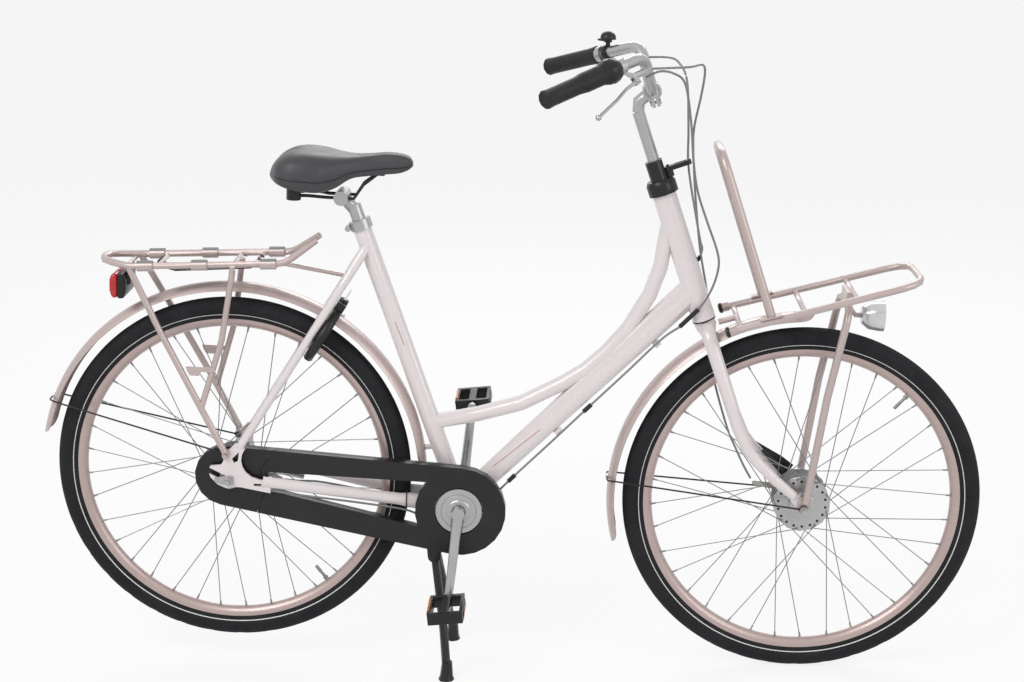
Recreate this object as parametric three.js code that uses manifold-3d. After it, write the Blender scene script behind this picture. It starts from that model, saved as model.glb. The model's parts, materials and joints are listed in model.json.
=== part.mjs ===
import * as THREE from 'three';
import { mergeGeometries, mergeVertices } from 'three/addons/utils/BufferGeometryUtils.js';
import Module from 'manifold-3d';

// A Dutch city bike. Lengths are in millimetres. It is drawn with the rear axle at the
// origin, +X forward, +Y to the rider's left and +Z up, and is then tipped onto its stand.

// Wheels
const wheelBase = 1120;
const tyreRadius = 351;
const tyreWidth = 40;
const rimOuterRadius = 317;
const rimInnerRadius = 292;
const rimWidth = 25;
const spokeRadius = 0.9;
const axleRadius = 5;
const frontHubWidth = 100;
const rearHubWidth = 132;
const spokesPerSide = 18;

// Frame
const seatAngleDeg = 68.9;
const seatTubeLength = 599;
const seatTubeRadius = 18;
const headAngleDeg = 68.9;
const headTubeLength = 257;
const headTubeRadius = 23;
const forkLength = 411;
const forkRake = 73;
const bracketAhead = 450;
const bracketDrop = 43;
const bracketShellWidth = 68;
const topTubeRadius = 15;
const downTubeRadius = 21;

// Drive
const chainPitch = 12.7;
const chainringTeeth = 36;
const sprocketTeeth = 24;
const chainLine = 46;
const crankLength = 170;
const crankOffset = 66;
const pedalWidth = 95;

// Cockpit and seat
const stemRise = 186;
const stemReach = 36;
const barHalfWidth = 250;
const barRadius = 11.1;
const barClampRadius = 12.7;
const postRadius = 13.6;
const postSetback = 22;
const saddleLength = 268;
const saddleWidth = 176;

// Mudguards, carriers and stand
const mudguardRadius = 382;
const mudguardWidth = 52;
const rearCarrierLength = 369;
const rearCarrierHeight = 425;
const rearCarrierHalfWidth = 56;
const frontCarrierLength = 375;
const frontCarrierHalfWidth = 92;
const footSpread = 98;

// Fits
const gap = 0.3;
const runningGap = 0.6;
const overrun = 5;

const degree = Math.PI / 180;
const right = -1;
const left = 1;
const sides = [right, left];
const wasm = await Module();
wasm.setup();

// Points and directions

function at(x, y, z) {
  return new THREE.Vector3(x, y, z);
}

const acrossAxis = at(0, 1, 0);
const upAxis = at(0, 0, 1);

function between(start, end, share) {
  return start.clone().lerp(end, share);
}

function along(start, direction, distance) {
  return start.clone().addScaledVector(direction, distance);
}

function onSide(point, side) {
  return at(point.x, point.y * side, point.z);
}

function circle(radius, count, start = 0) {
  return Array.from({ length: count }, (_, i) => {
    const angle = start + (2 * Math.PI * i) / count;
    return new THREE.Vector2(radius * Math.cos(angle), radius * Math.sin(angle));
  });
}

function arc(centre, radius, fromDeg, toDeg, steps) {
  return Array.from({ length: steps + 1 }, (_, i) => {
    const angle = (fromDeg + ((toDeg - fromDeg) * i) / steps) * degree;
    return [centre[0] + radius * Math.cos(angle), centre[1] + radius * Math.sin(angle)];
  });
}

// Rounds the inner corners of a line of points with bends of one radius.
function bent(corners, radius, steps = 4) {
  const points = [corners[0]];
  for (let i = 1; i < corners.length - 1; i += 1) {
    const toBefore = corners[i - 1].clone().sub(corners[i]);
    const toAfter = corners[i + 1].clone().sub(corners[i]);
    const half = toBefore.angleTo(toAfter) / 2;
    const room = Math.min(toBefore.length(), toAfter.length()) / 2;
    const reach = Math.min(radius / Math.tan(half), room);
    const start = along(corners[i], toBefore.normalize(), reach);
    const end = along(corners[i], toAfter.normalize(), reach);
    for (let k = 0; k <= steps; k += 1) {
      const share = k / steps;
      points.push(between(between(start, corners[i], share), between(corners[i], end, share), share));
    }
  }
  points.push(corners[corners.length - 1]);
  return points;
}

// Solids

function signedVolume(geometry) {
  const position = geometry.attributes.position;
  const corner = [at(0, 0, 0), at(0, 0, 0), at(0, 0, 0)];
  let sum = 0;
  for (let i = 0; i < position.count; i += 3) {
    corner.forEach((point, k) => point.fromBufferAttribute(position, i + k));
    sum += corner[0].dot(corner[1].clone().cross(corner[2]));
  }
  return sum;
}

function flipped(geometry) {
  const values = geometry.attributes.position.array;
  const turned = new Float32Array(values.length);
  for (let i = 0; i < values.length; i += 9) {
    turned.set(values.subarray(i, i + 3), i);
    turned.set(values.subarray(i + 6, i + 9), i + 3);
    turned.set(values.subarray(i + 3, i + 6), i + 6);
  }
  return new THREE.BufferGeometry().setAttribute('position', new THREE.BufferAttribute(turned, 3));
}

// Bare triangles with their faces out.
function plain(geometry) {
  const flat = geometry.index ? geometry.toNonIndexed() : geometry;
  const bare = new THREE.BufferGeometry().setAttribute('position', flat.attributes.position);
  return signedVolume(bare) < 0 ? flipped(bare) : bare;
}

function toSolid(geometry) {
  const merged = mergeVertices(plain(geometry));
  const mesh = new wasm.Mesh({
    numProp: 3,
    vertProperties: merged.attributes.position.array,
    triVerts: new Uint32Array(merged.index.array),
  });
  return new wasm.Manifold(mesh);
}

function fromSolid(solid) {
  const mesh = solid.getMesh();
  const geometry = new THREE.BufferGeometry();
  geometry.setAttribute('position', new THREE.BufferAttribute(mesh.vertProperties, 3));
  geometry.setIndex(new THREE.BufferAttribute(mesh.triVerts, 1));
  return plain(geometry);
}

function fuse(...geometries) {
  return fromSolid(geometries.map(toSolid).reduce((sum, next) => sum.add(next)));
}

function cut(body, ...tools) {
  return fromSolid(tools.map(toSolid).reduce((rest, tool) => rest.subtract(tool), toSolid(body)));
}

function overlapOf(body, other) {
  return fromSolid(toSolid(body).intersect(toSolid(other)));
}

// Separate solids that share one node.
function group(...geometries) {
  return mergeGeometries(geometries.map(plain));
}

function mirrored(geometry) {
  return plain(geometry.clone().scale(1, -1, 1));
}

function bothSides(geometry) {
  return group(geometry, mirrored(geometry));
}

function aimed(geometry, start, direction) {
  const turn = new THREE.Quaternion().setFromUnitVectors(acrossAxis, direction.clone().normalize());
  return geometry.applyQuaternion(turn).translate(start.x, start.y, start.z);
}

// Turns a profile of [radius, height] pairs about a line.
function revolve(profile, count, start = at(0, 0, 0), direction = acrossAxis) {
  const points = profile.map(([radius, height]) => new THREE.Vector2(radius, height));
  return plain(aimed(new THREE.LatheGeometry(points, count), start, direction));
}

function ring(inner, outer, low, high, count, start, direction) {
  const profile = [[inner, low], [outer, low], [outer, high], [inner, high], [inner, low]];
  return revolve(profile, count, start, direction);
}

function cone(start, end, startRadius, endRadius, count) {
  const direction = end.clone().sub(start);
  const turn = new THREE.Quaternion().setFromUnitVectors(acrossAxis, direction.normalize());
  const rings = [[start, startRadius], [end, endRadius]].map(([middle, radius]) => (
    circle(radius, count).map((spot) => at(spot.y, 0, spot.x).applyQuaternion(turn).add(middle))
  ));
  return loft(rings);
}

function rod(start, end, radius, count = 12) {
  return cone(start, end, radius, radius, count);
}

function block(width, depth, height, centre = at(0, 0, 0)) {
  return plain(new THREE.BoxGeometry(width, depth, height).translate(centre.x, centre.y, centre.z));
}

// A plate whose outline lies in the bicycle's side view.
function plate(outline, low, high, holes = []) {
  const shape = new THREE.Shape(outline.map(([x, z]) => new THREE.Vector2(x, z)));
  shape.holes = holes.map((hole) => new THREE.Path(hole.map(([x, z]) => new THREE.Vector2(x, z))));
  const body = new THREE.ExtrudeGeometry(shape, { depth: high - low, bevelEnabled: false });
  return plain(body.rotateX(90 * degree).translate(0, high, 0));
}

// A flat band of one thickness along a line in the side view.
function ribbon(line, thickness, low, high) {
  const edge = (way) => line.map(([x, z], i) => {
    const [beforeX, beforeZ] = line[Math.max(i - 1, 0)];
    const [afterX, afterZ] = line[Math.min(i + 1, line.length - 1)];
    const reach = (way * thickness) / 2 / Math.hypot(afterX - beforeX, afterZ - beforeZ);
    return [x - (afterZ - beforeZ) * reach, z + (afterX - beforeX) * reach];
  });
  return plate([...edge(1), ...edge(-1).reverse()], low, high);
}

// A path that a section visits point by point.
class PointPath extends THREE.Curve {
  constructor(points) {
    super();
    this.points = points;
  }

  getPointAt(share) {
    return this.points[Math.round(share * (this.points.length - 1))].clone();
  }

  getTangentAt(share) {
    const i = Math.round(share * (this.points.length - 1));
    const here = this.points[i];
    const sum = at(0, 0, 0);
    if (i > 0) sum.add(here.clone().sub(this.points[i - 1]).normalize());
    if (i < this.points.length - 1) sum.add(this.points[i + 1].clone().sub(here).normalize());
    return sum.normalize();
  }
}

function tube(points, radius, count = 8) {
  const section = new THREE.Shape(circle(radius, count));
  const settings = { steps: points.length - 1, bevelEnabled: false, extrudePath: new PointPath(points) };
  return plain(new THREE.ExtrudeGeometry(section, settings));
}

// Skins a row of rings that have the same number of points.
function loft(rings, closed = false) {
  const triangles = [];
  const size = rings[0].length;
  const spans = closed ? rings.length : rings.length - 1;
  for (let i = 0; i < spans; i += 1) {
    const near = rings[i];
    const far = rings[(i + 1) % rings.length];
    for (let k = 0; k < size; k += 1) {
      const next = (k + 1) % size;
      triangles.push(near[k], near[next], far[next], near[k], far[next], far[k]);
    }
  }
  if (!closed) {
    for (let k = 1; k < size - 1; k += 1) {
      const last = rings[rings.length - 1];
      triangles.push(rings[0][0], rings[0][k + 1], rings[0][k], last[0], last[k], last[k + 1]);
    }
  }
  return plain(new THREE.BufferGeometry().setFromPoints(triangles));
}

// Sweeps an oval section, one [half width, half height] pair for each point of the path.
function sweep(points, sizes, count, closed = false) {
  const last = points.length - 1;
  let side = acrossAxis.clone();
  const rings = points.map((point, i) => {
    const before = closed || i > 0 ? points[(i + last) % points.length] : point;
    const after = closed || i < last ? points[(i + 1) % points.length] : point;
    const heading = at(0, 0, 0);
    if (!before.equals(point)) heading.add(point.clone().sub(before).normalize());
    if (!after.equals(point)) heading.add(after.clone().sub(point).normalize());
    heading.normalize();
    side = side.clone().addScaledVector(heading, -side.dot(heading)).normalize();
    const rise = heading.clone().cross(side);
    const [halfWidth, halfHeight] = sizes[Math.min(i, sizes.length - 1)];
    return circle(1, count).map((spot) => {
      const place = along(point, side, spot.x * halfWidth);
      return along(place, rise, spot.y * halfHeight);
    });
  });
  return loft(rings, closed);
}

// Finishes

const finishes = {
  framePaint: { color: 0xe9dfe3, roughness: 0.28, metalness: 0.1 },
  rosePaint: { color: 0xcbb4ad, roughness: 0.34, metalness: 0.45 },
  blackPlastic: { color: 0x17181a, roughness: 0.45, metalness: 0.05 },
  blackRubber: { color: 0x1d1e20, roughness: 0.85, metalness: 0 },
  saddleCover: { color: 0x2a2c30, roughness: 0.6, metalness: 0 },
  brightSteel: { color: 0xc9ccd0, roughness: 0.22, metalness: 0.95 },
  aluminium: { color: 0xc3c5c7, roughness: 0.35, metalness: 0.9 },
  blackSteel: { color: 0x1b1c1e, roughness: 0.38, metalness: 0.6 },
  cableGrey: { color: 0x8d9092, roughness: 0.5, metalness: 0.1 },
  padGrey: { color: 0x77777a, roughness: 0.7, metalness: 0 },
  redLens: { color: 0xb3221f, roughness: 0.2, metalness: 0 },
  orangeLens: { color: 0xd9731b, roughness: 0.25, metalness: 0 },
  clearLens: { color: 0xdfe3e4, roughness: 0.1, metalness: 0.1 },
  lampGrey: { color: 0xb9bcbc, roughness: 0.35, metalness: 0.4 },
  chainSteel: { color: 0x6f6a62, roughness: 0.4, metalness: 0.85 },
  creamPlastic: { color: 0xd9d6c4, roughness: 0.5, metalness: 0 },
};

const bike = new THREE.Group();

function add(name, geometry, finish) {
  const skin = plain(geometry);
  skin.computeVertexNormals();
  const mesh = new THREE.Mesh(skin, new THREE.MeshStandardMaterial(finishes[finish]));
  mesh.name = name;
  bike.add(mesh);
}

// Lines that the whole bicycle hangs on

const rearAxle = at(0, 0, 0);
const frontAxle = at(wheelBase, 0, 0);
const bracket = at(bracketAhead, 0, -bracketDrop);
const seatUp = at(-Math.cos(seatAngleDeg * degree), 0, Math.sin(seatAngleDeg * degree));
const steerUp = at(-Math.cos(headAngleDeg * degree), 0, Math.sin(headAngleDeg * degree));
const steerAhead = at(steerUp.z, 0, -steerUp.x);
const steerFoot = along(frontAxle, steerAhead, -forkRake);
const headLow = along(steerFoot, steerUp, forkLength);
const headTop = along(headLow, steerUp, headTubeLength);
const seatTop = along(bracket, seatUp, seatTubeLength);

// A point beside the steering axis, by its height above the head tube's lower end.
function bySteering(height, ahead = 0, across = 0) {
  const point = along(along(headLow, steerUp, height), steerAhead, ahead);
  return point.add(at(0, across, 0));
}

// A point beside the seat tube, by its height above the bracket's centre.
function bySeatTube(height, ahead = 0, across = 0) {
  const seatAhead = at(seatUp.z, 0, -seatUp.x);
  const point = along(along(bracket, seatUp, height), seatAhead, ahead);
  return point.add(at(0, across, 0));
}

// A point on a wheel's face, by its angle up from straight ahead.
function byWheel(hub, radius, angleDeg, across = 0) {
  const angle = angleDeg * degree;
  return at(hub.x + radius * Math.cos(angle), across, hub.z + radius * Math.sin(angle));
}

// Wheels

const wheelSegments = 36;
const tyreSteps = 6;
const hubSegments = 14;
const rimInnerFlat = rimInnerRadius * Math.cos(Math.PI / wheelSegments);
const rimShoulderRadius = 304;
const spokeHoleOffset = 2.6;
const spokeElbowRise = 1.2;
const nippleRadius = 2;
const nippleLength = 14;
const nippleDepth = 7;
const valveRadius = 3;
const valveLength = 34;
const frontValveDeg = 50;
const spokePhaseDeg = 5;
const rearValveDeg = -50;
const frontFlange = { radius: 56, holeRadius: 51, offset: 26, thickness: 4 };
const rearFlange = { radius: 50, holeRadius: 46, offset: 28, thickness: 4 };
const spokeCrossings = 3;

function tyre(hub) {
  const crown = tyreRadius - tyreWidth / 2;
  const seat = rimOuterRadius + gap;
  const reachDeg = Math.acos((seat - crown) / (tyreWidth / 2)) / degree;
  const profile = arc([crown, 0], tyreWidth / 2, -reachDeg, reachDeg, tyreSteps);
  return revolve([...profile, profile[0]], wheelSegments, hub);
}

function rim(hub, flange, valveDeg) {
  const half = rimWidth / 2;
  const profile = [
    [rimOuterRadius, half],
    [rimShoulderRadius, half],
    [rimInnerRadius, 0],
    [rimShoulderRadius, -half],
    [rimOuterRadius, -half],
  ];
  const hoop = revolve([...profile, profile[0]], wheelSegments, hub);
  return fuse(hoop, valve(hub, valveDeg), ...spokes(hub, flange));
}

function valve(hub, angleDeg) {
  const foot = byWheel(hub, rimInnerFlat + nippleDepth, angleDeg);
  const tip = byWheel(hub, rimInnerFlat - valveLength, angleDeg);
  return cone(foot, tip, valveRadius * 1.4, valveRadius, 6);
}

function spoke(start, end) {
  const direction = end.clone().sub(start).normalize();
  const neck = along(end, direction, -nippleLength);
  const sizes = [spokeRadius, spokeRadius, nippleRadius].map((size) => [size, size]);
  return sweep([start, neck, end], sizes, 3);
}

// Laced wheel: on each flange every second spoke leads and lies on the inner face.
function spokes(hub, flange) {
  const step = 360 / spokesPerSide;
  const lift = flange.thickness / 2 + gap + spokeRadius;
  const laced = [];
  for (const side of sides) {
    for (let i = 0; i < spokesPerSide; i += 1) {
      const leads = i % 2 === 0;
      const holeDeg = spokePhaseDeg + i * step + (side === left ? step / 2 : 0);
      const rimDeg = holeDeg + (leads ? spokeCrossings : -spokeCrossings) * step;
      const across = flange.offset + (leads ? -lift : lift + spokeElbowRise);
      const start = byWheel(hub, flange.holeRadius, holeDeg, side * across);
      const end = byWheel(hub, rimInnerFlat + nippleDepth, rimDeg, side * spokeHoleOffset);
      laced.push(spoke(start, end));
    }
  }
  return laced;
}

const hubBore = axleRadius + gap;
const frontDrumRadius = 44;
const frontCapRadius = 26;
const frontCapEnd = 38;
const frontConeRadius = 16;
const frontFlangeOuter = frontFlange.offset + frontFlange.thickness / 2;
const frontFlangeInner = frontFlange.offset - frontFlange.thickness / 2;

function frontHub() {
  const slope = frontFlange.thickness / 2;
  return revolve([
    [hubBore, -frontCapEnd],
    [frontConeRadius, -frontCapEnd],
    [frontCapRadius, 2 * slope - frontCapEnd],
    [frontCapRadius, -frontFlangeOuter],
    [frontFlange.radius, -frontFlangeOuter],
    [frontFlange.radius, -frontFlangeInner],
    [frontDrumRadius, -frontFlangeInner],
    [frontDrumRadius, frontFlangeInner],
    [frontFlange.radius, frontFlangeInner],
    [frontFlange.radius, frontFlangeOuter],
    [hubBore, frontFlangeOuter],
    [hubBore, -frontCapEnd],
  ], hubSegments, frontAxle);
}

const gearHubRadius = 34;
const gearHubShoulder = 39;
const gearHubWaist = 12;
const gearHubEnd = 34;
const gearHubEndRadius = 25;
const rearFlangeOuter = rearFlange.offset + rearFlange.thickness / 2;
const rearFlangeInner = rearFlange.offset - rearFlange.thickness / 2;

function rearHub() {
  return revolve([
    [hubBore, -gearHubEnd],
    [gearHubEndRadius, -gearHubEnd],
    [gearHubEndRadius, -rearFlangeOuter],
    [rearFlange.radius, -rearFlangeOuter],
    [rearFlange.radius, -rearFlangeInner],
    [gearHubShoulder, -rearFlangeInner],
    [gearHubRadius, -gearHubWaist],
    [gearHubRadius, gearHubWaist],
    [gearHubShoulder, rearFlangeInner],
    [rearFlange.radius, rearFlangeInner],
    [rearFlange.radius, rearFlangeOuter],
    [hubBore, rearFlangeOuter],
    [hubBore, -gearHubEnd],
  ], hubSegments, rearAxle);
}

const axleNutRadius = 9;
const axleNutHeight = 9;
const axleStub = 5;

// An axle with a hexagon nut and a domed end on each side.
function axle(hub, nutSeat) {
  const point = (across) => at(hub.x, across, hub.z);
  const parts = sides.flatMap((side) => {
    const outer = nutSeat + axleNutHeight;
    const nut = rod(point(side * nutSeat), point(side * outer), axleNutRadius, 6);
    const tip = cone(point(side * (outer - gap)), point(side * (outer + axleStub)), axleRadius * 1.3, axleRadius, 8);
    return [nut, tip];
  });
  return fuse(rod(point(-nutSeat - gap), point(nutSeat + gap), axleRadius, 8), ...parts);
}

// Frame

const tubeSides = 12;
const headBoreRadius = 17.5;
const seatPostRadius = postRadius;
const seatBoreDepth = 340;
const bracketShellRadius = 22;
const bracketBoreRadius = 17;
const downTubeHeadHeight = 63;
const downTubeHeadRadius = 27;
const topTubeSeatHeight = 174;
const topTubeHeadDrop = 43;
const topTubeHeadHeight = headTubeLength - topTubeHeadDrop;
const topTubeShares = [
  [0, 0], [0.205, 0.049], [0.394, 0.11], [0.579, 0.216], [0.672, 0.281], [0.76, 0.368],
  [0.848, 0.481], [0.932, 0.639], [0.971, 0.766], [0.984, 0.899], [1, 1],
];
const stayDropSpan = rearHubWidth / 2;
const dropoutThickness = 5;
const dropoutReach = 82;
const dropoutShares = [
  [1, 0.02], [0.73, 0.05], [0.54, 0.11], [0.4, 0.22], [0.32, 0.36], [0.29, 0.5], [0.31, 0.66],
  [0.38, 0.8], [0.16, 0.93], [0.03, 0.79], [-0.12, 0.72], [-0.17, 0.63], [-0.12, 0.5],
  [-0.18, 0.38], [-0.44, 0.34], [-0.49, 0.2], [-0.43, 0.05], [-0.26, -0.12], [-0.06, -0.2],
  [0.14, -0.16], [0.3, -0.16], [0.55, -0.2], [1, -0.27],
];
const dropoutWindowShares = [[0.07, 0.53], [0.24, 0.72], [0.22, 0.5], [0.13, 0.44]];
const dropoutSlotShares = [[0.6, -0.11], [0.78, -0.11], [0.78, -0.05], [0.6, -0.05]];
const axleSlotDeg = 155;
const seatStaySizes = [[9.5, 9.5], [9, 9], [9, 9], [8, 8]];
const seatStayDrop = 51;
const seatStayHeight = seatTubeLength - seatStayDrop;
const seatStaySpread = 47;
const seatStayEnd = at(22, 0, 70);
const chainStayEnd = at(66, 0, 0);
const chainStayBend = at(340, 0, -36);
const chainStayBendSpan = 26.3;
const stayBridgeRadius = 7;
const eyeletShares = [-0.07, 0.62];
const eyeletRadius = 2.6;
const guardBossRadius = 6;
const guardBossLength = 15;
const rearBossDeg = 10;
const frontBossDeg = 122;

function downTube() {
  const foot = bracket;
  const top = bySteering(downTubeHeadHeight);
  const sizes = [[downTubeRadius, downTubeRadius], [downTubeRadius, downTubeHeadRadius]];
  return sweep([foot, top], sizes, tubeSides);
}

function topTubeLine() {
  const start = bySeatTube(topTubeSeatHeight);
  const end = bySteering(topTubeHeadHeight);
  const points = topTubeShares.map(([run, rise]) => (
    at(start.x + run * (end.x - start.x), 0, start.z + rise * (end.z - start.z))
  ));
  return new THREE.CatmullRomCurve3(points).getPoints(10);
}

const upperBridge = between(bySeatTube(seatStayHeight), seatStayEnd, 0.16);

function seatStayLine(side) {
  const top = bySeatTube(seatStayHeight);
  const end = at(seatStayEnd.x, stayDropSpan + dropoutThickness / 2, seatStayEnd.z);
  const out = upperBridge.clone().setY(seatStaySpread);
  return bent([top.setY(seatTubeRadius / 2), out, end], tyreRadius / 4, 2).map((p) => onSide(p, side));
}

function seatStay(side) {
  const line = seatStayLine(side);
  const [first, , , last] = seatStaySizes;
  const sizes = line.map((_, i) => first.map((size, k) => size + ((last[k] - size) * i) / (line.length - 1)));
  return sweep(line, sizes, 8);
}

function chainStayLine(side) {
  const end = at(chainStayEnd.x, stayDropSpan + dropoutThickness / 2, chainStayEnd.z);
  const bend = at(chainStayBend.x, chainStayBendSpan, chainStayBend.z);
  const start = at(bracket.x, chainStayBendSpan - gap, bracket.z);
  return bent([start, bend, end], tyreRadius / 3, 2).map((point) => onSide(point, side));
}

const chainStayHalfHeights = [17, 11];
const chainStayHalfWidths = [7, 8];

function chainStay(side) {
  const line = chainStayLine(side);
  const share = (pair, i) => pair[0] + ((pair[1] - pair[0]) * i) / (line.length - 1);
  const sizes = line.map((_, i) => [share(chainStayHalfWidths, i), share(chainStayHalfHeights, i)]);
  return sweep(line, sizes, 8);
}

function scaled(shares, size) {
  return shares.map((pair) => pair.map((share) => share * size));
}

function slotAlong(angleDeg, length, radius) {
  const tip = arc([0, 0], radius / Math.cos(22.5 * degree), angleDeg + 270, angleDeg + 90, 4);
  const ahead = [Math.cos(angleDeg * degree) * length, Math.sin(angleDeg * degree) * length];
  const far = [tip[4], tip[0]].map(([x, z]) => [x + ahead[0], z + ahead[1]]);
  return [...tip, ...far];
}

function dropout(side) {
  const inner = stayDropSpan + gap;
  const outer = inner + dropoutThickness;
  const holes = [scaled(dropoutWindowShares, dropoutReach), scaled(dropoutSlotShares, dropoutReach)];
  const [eyeX, eyeZ] = scaled([eyeletShares], dropoutReach)[0];
  const eyelet = rod(at(eyeX, inner - overrun, eyeZ), at(eyeX, outer + overrun, eyeZ), eyeletRadius, 6);
  const slot = plate(slotAlong(axleSlotDeg, dropoutReach, hubBore), inner - overrun, outer + overrun);
  const body = cut(plate(scaled(dropoutShares, dropoutReach), inner, outer, holes), slot, eyelet);
  return side === left ? body : mirrored(body);
}

// A short boss that reaches in to the outside of a mudguard.
function guardBoss(hub, angleDeg) {
  const seat = mudguardRadius + gap;
  return rod(byWheel(hub, seat, angleDeg), byWheel(hub, seat + guardBossLength, angleDeg), guardBossRadius, 6);
}

function bridge(start) {
  return rod(start, onSide(start, right), stayBridgeRadius, 6);
}

const clipLength = 12;
const clipWidth = 12;
const clipShares = [0.385, 0.8];

// Clips that hold the gear cable under the down tube.
function cableClips() {
  const top = bySteering(downTubeHeadHeight);
  const heading = top.clone().sub(bracket).normalize();
  const below = at(heading.z, 0, -heading.x);
  return clipShares.map((share) => {
    const skin = downTubeRadius + (downTubeHeadRadius - downTubeRadius) * share;
    const place = along(between(bracket, top, share), below, skin + clipWidth / 3);
    const body = block(clipLength, clipWidth * 2, clipWidth).rotateY(-Math.atan2(heading.z, heading.x));
    return body.translate(place.x, place.y, place.z);
  });
}

function frame() {
  const bracketEnd = at(bracket.x, bracketShellWidth / 2, bracket.z);
  const shell = rod(onSide(bracketEnd, right), bracketEnd, bracketShellRadius, 12);
  const stays = sides.flatMap((side) => [seatStay(side), chainStay(side), dropout(side)]);
  const lowerBridge = between(bracket, chainStayBend, 0.55).setY(chainStayBendSpan);
  const body = fuse(
    rod(headLow, headTop, headTubeRadius, 14),
    downTube(),
    tube(topTubeLine(), topTubeRadius, 10),
    rod(bracket, seatTop, seatTubeRadius, tubeSides),
    shell,
    bridge(upperBridge.clone().setY(seatStaySpread)),
    bridge(lowerBridge),
    guardBoss(rearAxle, rearBossDeg),
    ...cableClips(),
    ...stays,
  );
  const headBore = rod(along(headLow, steerUp, -overrun), along(headTop, steerUp, overrun), headBoreRadius, 14);
  const seatBoreEnd = along(seatTop, seatUp, -seatBoreDepth);
  const seatBore = rod(seatBoreEnd, along(seatTop, seatUp, overrun), seatPostRadius + gap, 12);
  const boreEnd = along(bracketEnd, acrossAxis, overrun);
  const bracketBore = rod(onSide(boreEnd, right), boreEnd, bracketBoreRadius, 12);
  return cut(body, headBore, seatBore, bracketBore, cable(gearRoute, gearSteps, cableRadius + 2 * gap));
}

// Fork and headset

const steererRadius = 14.3;
const steererBoreRadius = 12;
const lowerRingHeight = 3;
const crownRadius = 21;
const crownFootRadius = 14;
const crownHeight = 30;
const crownDrop = 12;
const legSpread = 42;
const legEndSpread = 53;
const legTopSize = [11.5, 15];
const legEndSize = [8, 9.5];
const legCurveShares = [
  [0.085, 0], [0.52, 0], [0.64, 0.06], [0.713, 0.2], [0.825, 0.51], [0.93, 0.86],
];
const forkTabThickness = 5;
const forkTabRadius = 12;
const upperCupHeight = 27;
const upperCupRadius = 29;
const cupSkirt = 8;
const frontDropSpan = frontHubWidth / 2;

// Moves a shape drawn about the steering axis (+X ahead, +Z up it) onto the bicycle.
function steered(geometry) {
  const turn = new THREE.Matrix4().makeBasis(steerAhead, acrossAxis, steerUp).setPosition(headLow);
  return plain(geometry.applyMatrix4(turn));
}

function blend(start, end, share) {
  return start.map((value, i) => value + (end[i] - value) * share);
}

function forkLeg(side) {
  const top = bySteering(-crownDrop, 0, crownFootRadius / 2);
  const lower = legCurveShares.map(([down, ahead]) => {
    const spread = legSpread + (legEndSpread - legSpread) * down;
    return bySteering(-down * forkLength, ahead * forkRake, spread);
  });
  const line = [top, bySteering(-crownHeight / 2 - gap, 0, legSpread * 0.62), ...lower];
  const sizes = line.map((_, i) => blend(legTopSize, legEndSize, i / (line.length - 1)));
  return sweep(line.map((point) => onSide(point, side)), sizes, 8);
}

function forkTab(side) {
  const [down, ahead] = legCurveShares[legCurveShares.length - 1];
  const legEnd = bySteering(-down * forkLength, ahead * forkRake).sub(frontAxle);
  const across = at(-legEnd.z, 0, legEnd.x).normalize();
  const neck = [along(legEnd, across, -legEndSize[1]), along(legEnd, across, legEndSize[1])];
  const round = arc([0, 0], forkTabRadius, 200, 400, 6);
  const outline = [...round, ...neck.map((point) => [point.x, point.z])];
  const inner = frontDropSpan + gap;
  const body = plate(outline, inner, inner + forkTabThickness);
  const slot = plate(slotAlong(-90, forkTabRadius * 2, hubBore), inner - overrun, inner + forkTabThickness + overrun);
  const tab = cut(body, slot).translate(wheelBase, 0, 0);
  return side === left ? tab : mirrored(tab);
}

function fork() {
  const crown = steered(revolve([
    [0, -crownHeight - lowerRingHeight],
    [crownFootRadius, -crownHeight - lowerRingHeight],
    [crownRadius, -crownHeight / 2],
    [crownRadius, -lowerRingHeight - 2 * gap],
    [0, -lowerRingHeight - 2 * gap],
  ], 14, at(0, 0, 0), upAxis));
  const steererTop = headTubeLength + upperCupHeight;
  const steerer = rod(bySteering(-crownDrop), bySteering(steererTop), steererRadius, 12);
  const bore = rod(bySteering(-lowerRingHeight), bySteering(steererTop + overrun), steererBoreRadius, 12);
  const legs = sides.flatMap((side) => [forkLeg(side), forkTab(side)]);
  const width = crownRadius * overrun;
  const above = steered(block(width, width, crownHeight, at(0, 0, crownHeight / 2 - lowerRingHeight - 2 * gap)));
  const body = cut(fuse(crown, guardBoss(frontAxle, frontBossDeg), ...legs), above);
  return cut(fuse(body, steerer), bore);
}

function headsetLower() {
  const inner = steererRadius + 2 * gap;
  return steered(revolve([
    [inner, -lowerRingHeight - gap],
    [headTubeRadius, -lowerRingHeight - gap],
    [headTubeRadius, -gap],
    [headBoreRadius - 2 * gap, -gap],
    [headBoreRadius - 2 * gap, cupSkirt],
    [inner, cupSkirt],
    [inner, -lowerRingHeight - gap],
  ], 14, at(0, 0, 0), upAxis));
}

function headsetUpper() {
  const inner = steererRadius + 2 * gap;
  const base = gap;
  return steered(revolve([
    [inner, -cupSkirt],
    [headBoreRadius - 2 * gap, -cupSkirt],
    [headBoreRadius - 2 * gap, base],
    [upperCupRadius, base],
    [upperCupRadius, upperCupHeight * 0.75],
    [upperCupRadius * 0.86, upperCupHeight + 2 * gap],
    [inner, upperCupHeight + 2 * gap],
    [inner, -cupSkirt],
  ], 14, at(0, 0, headTubeLength), upAxis));
}

// Height-adjustable stem

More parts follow.
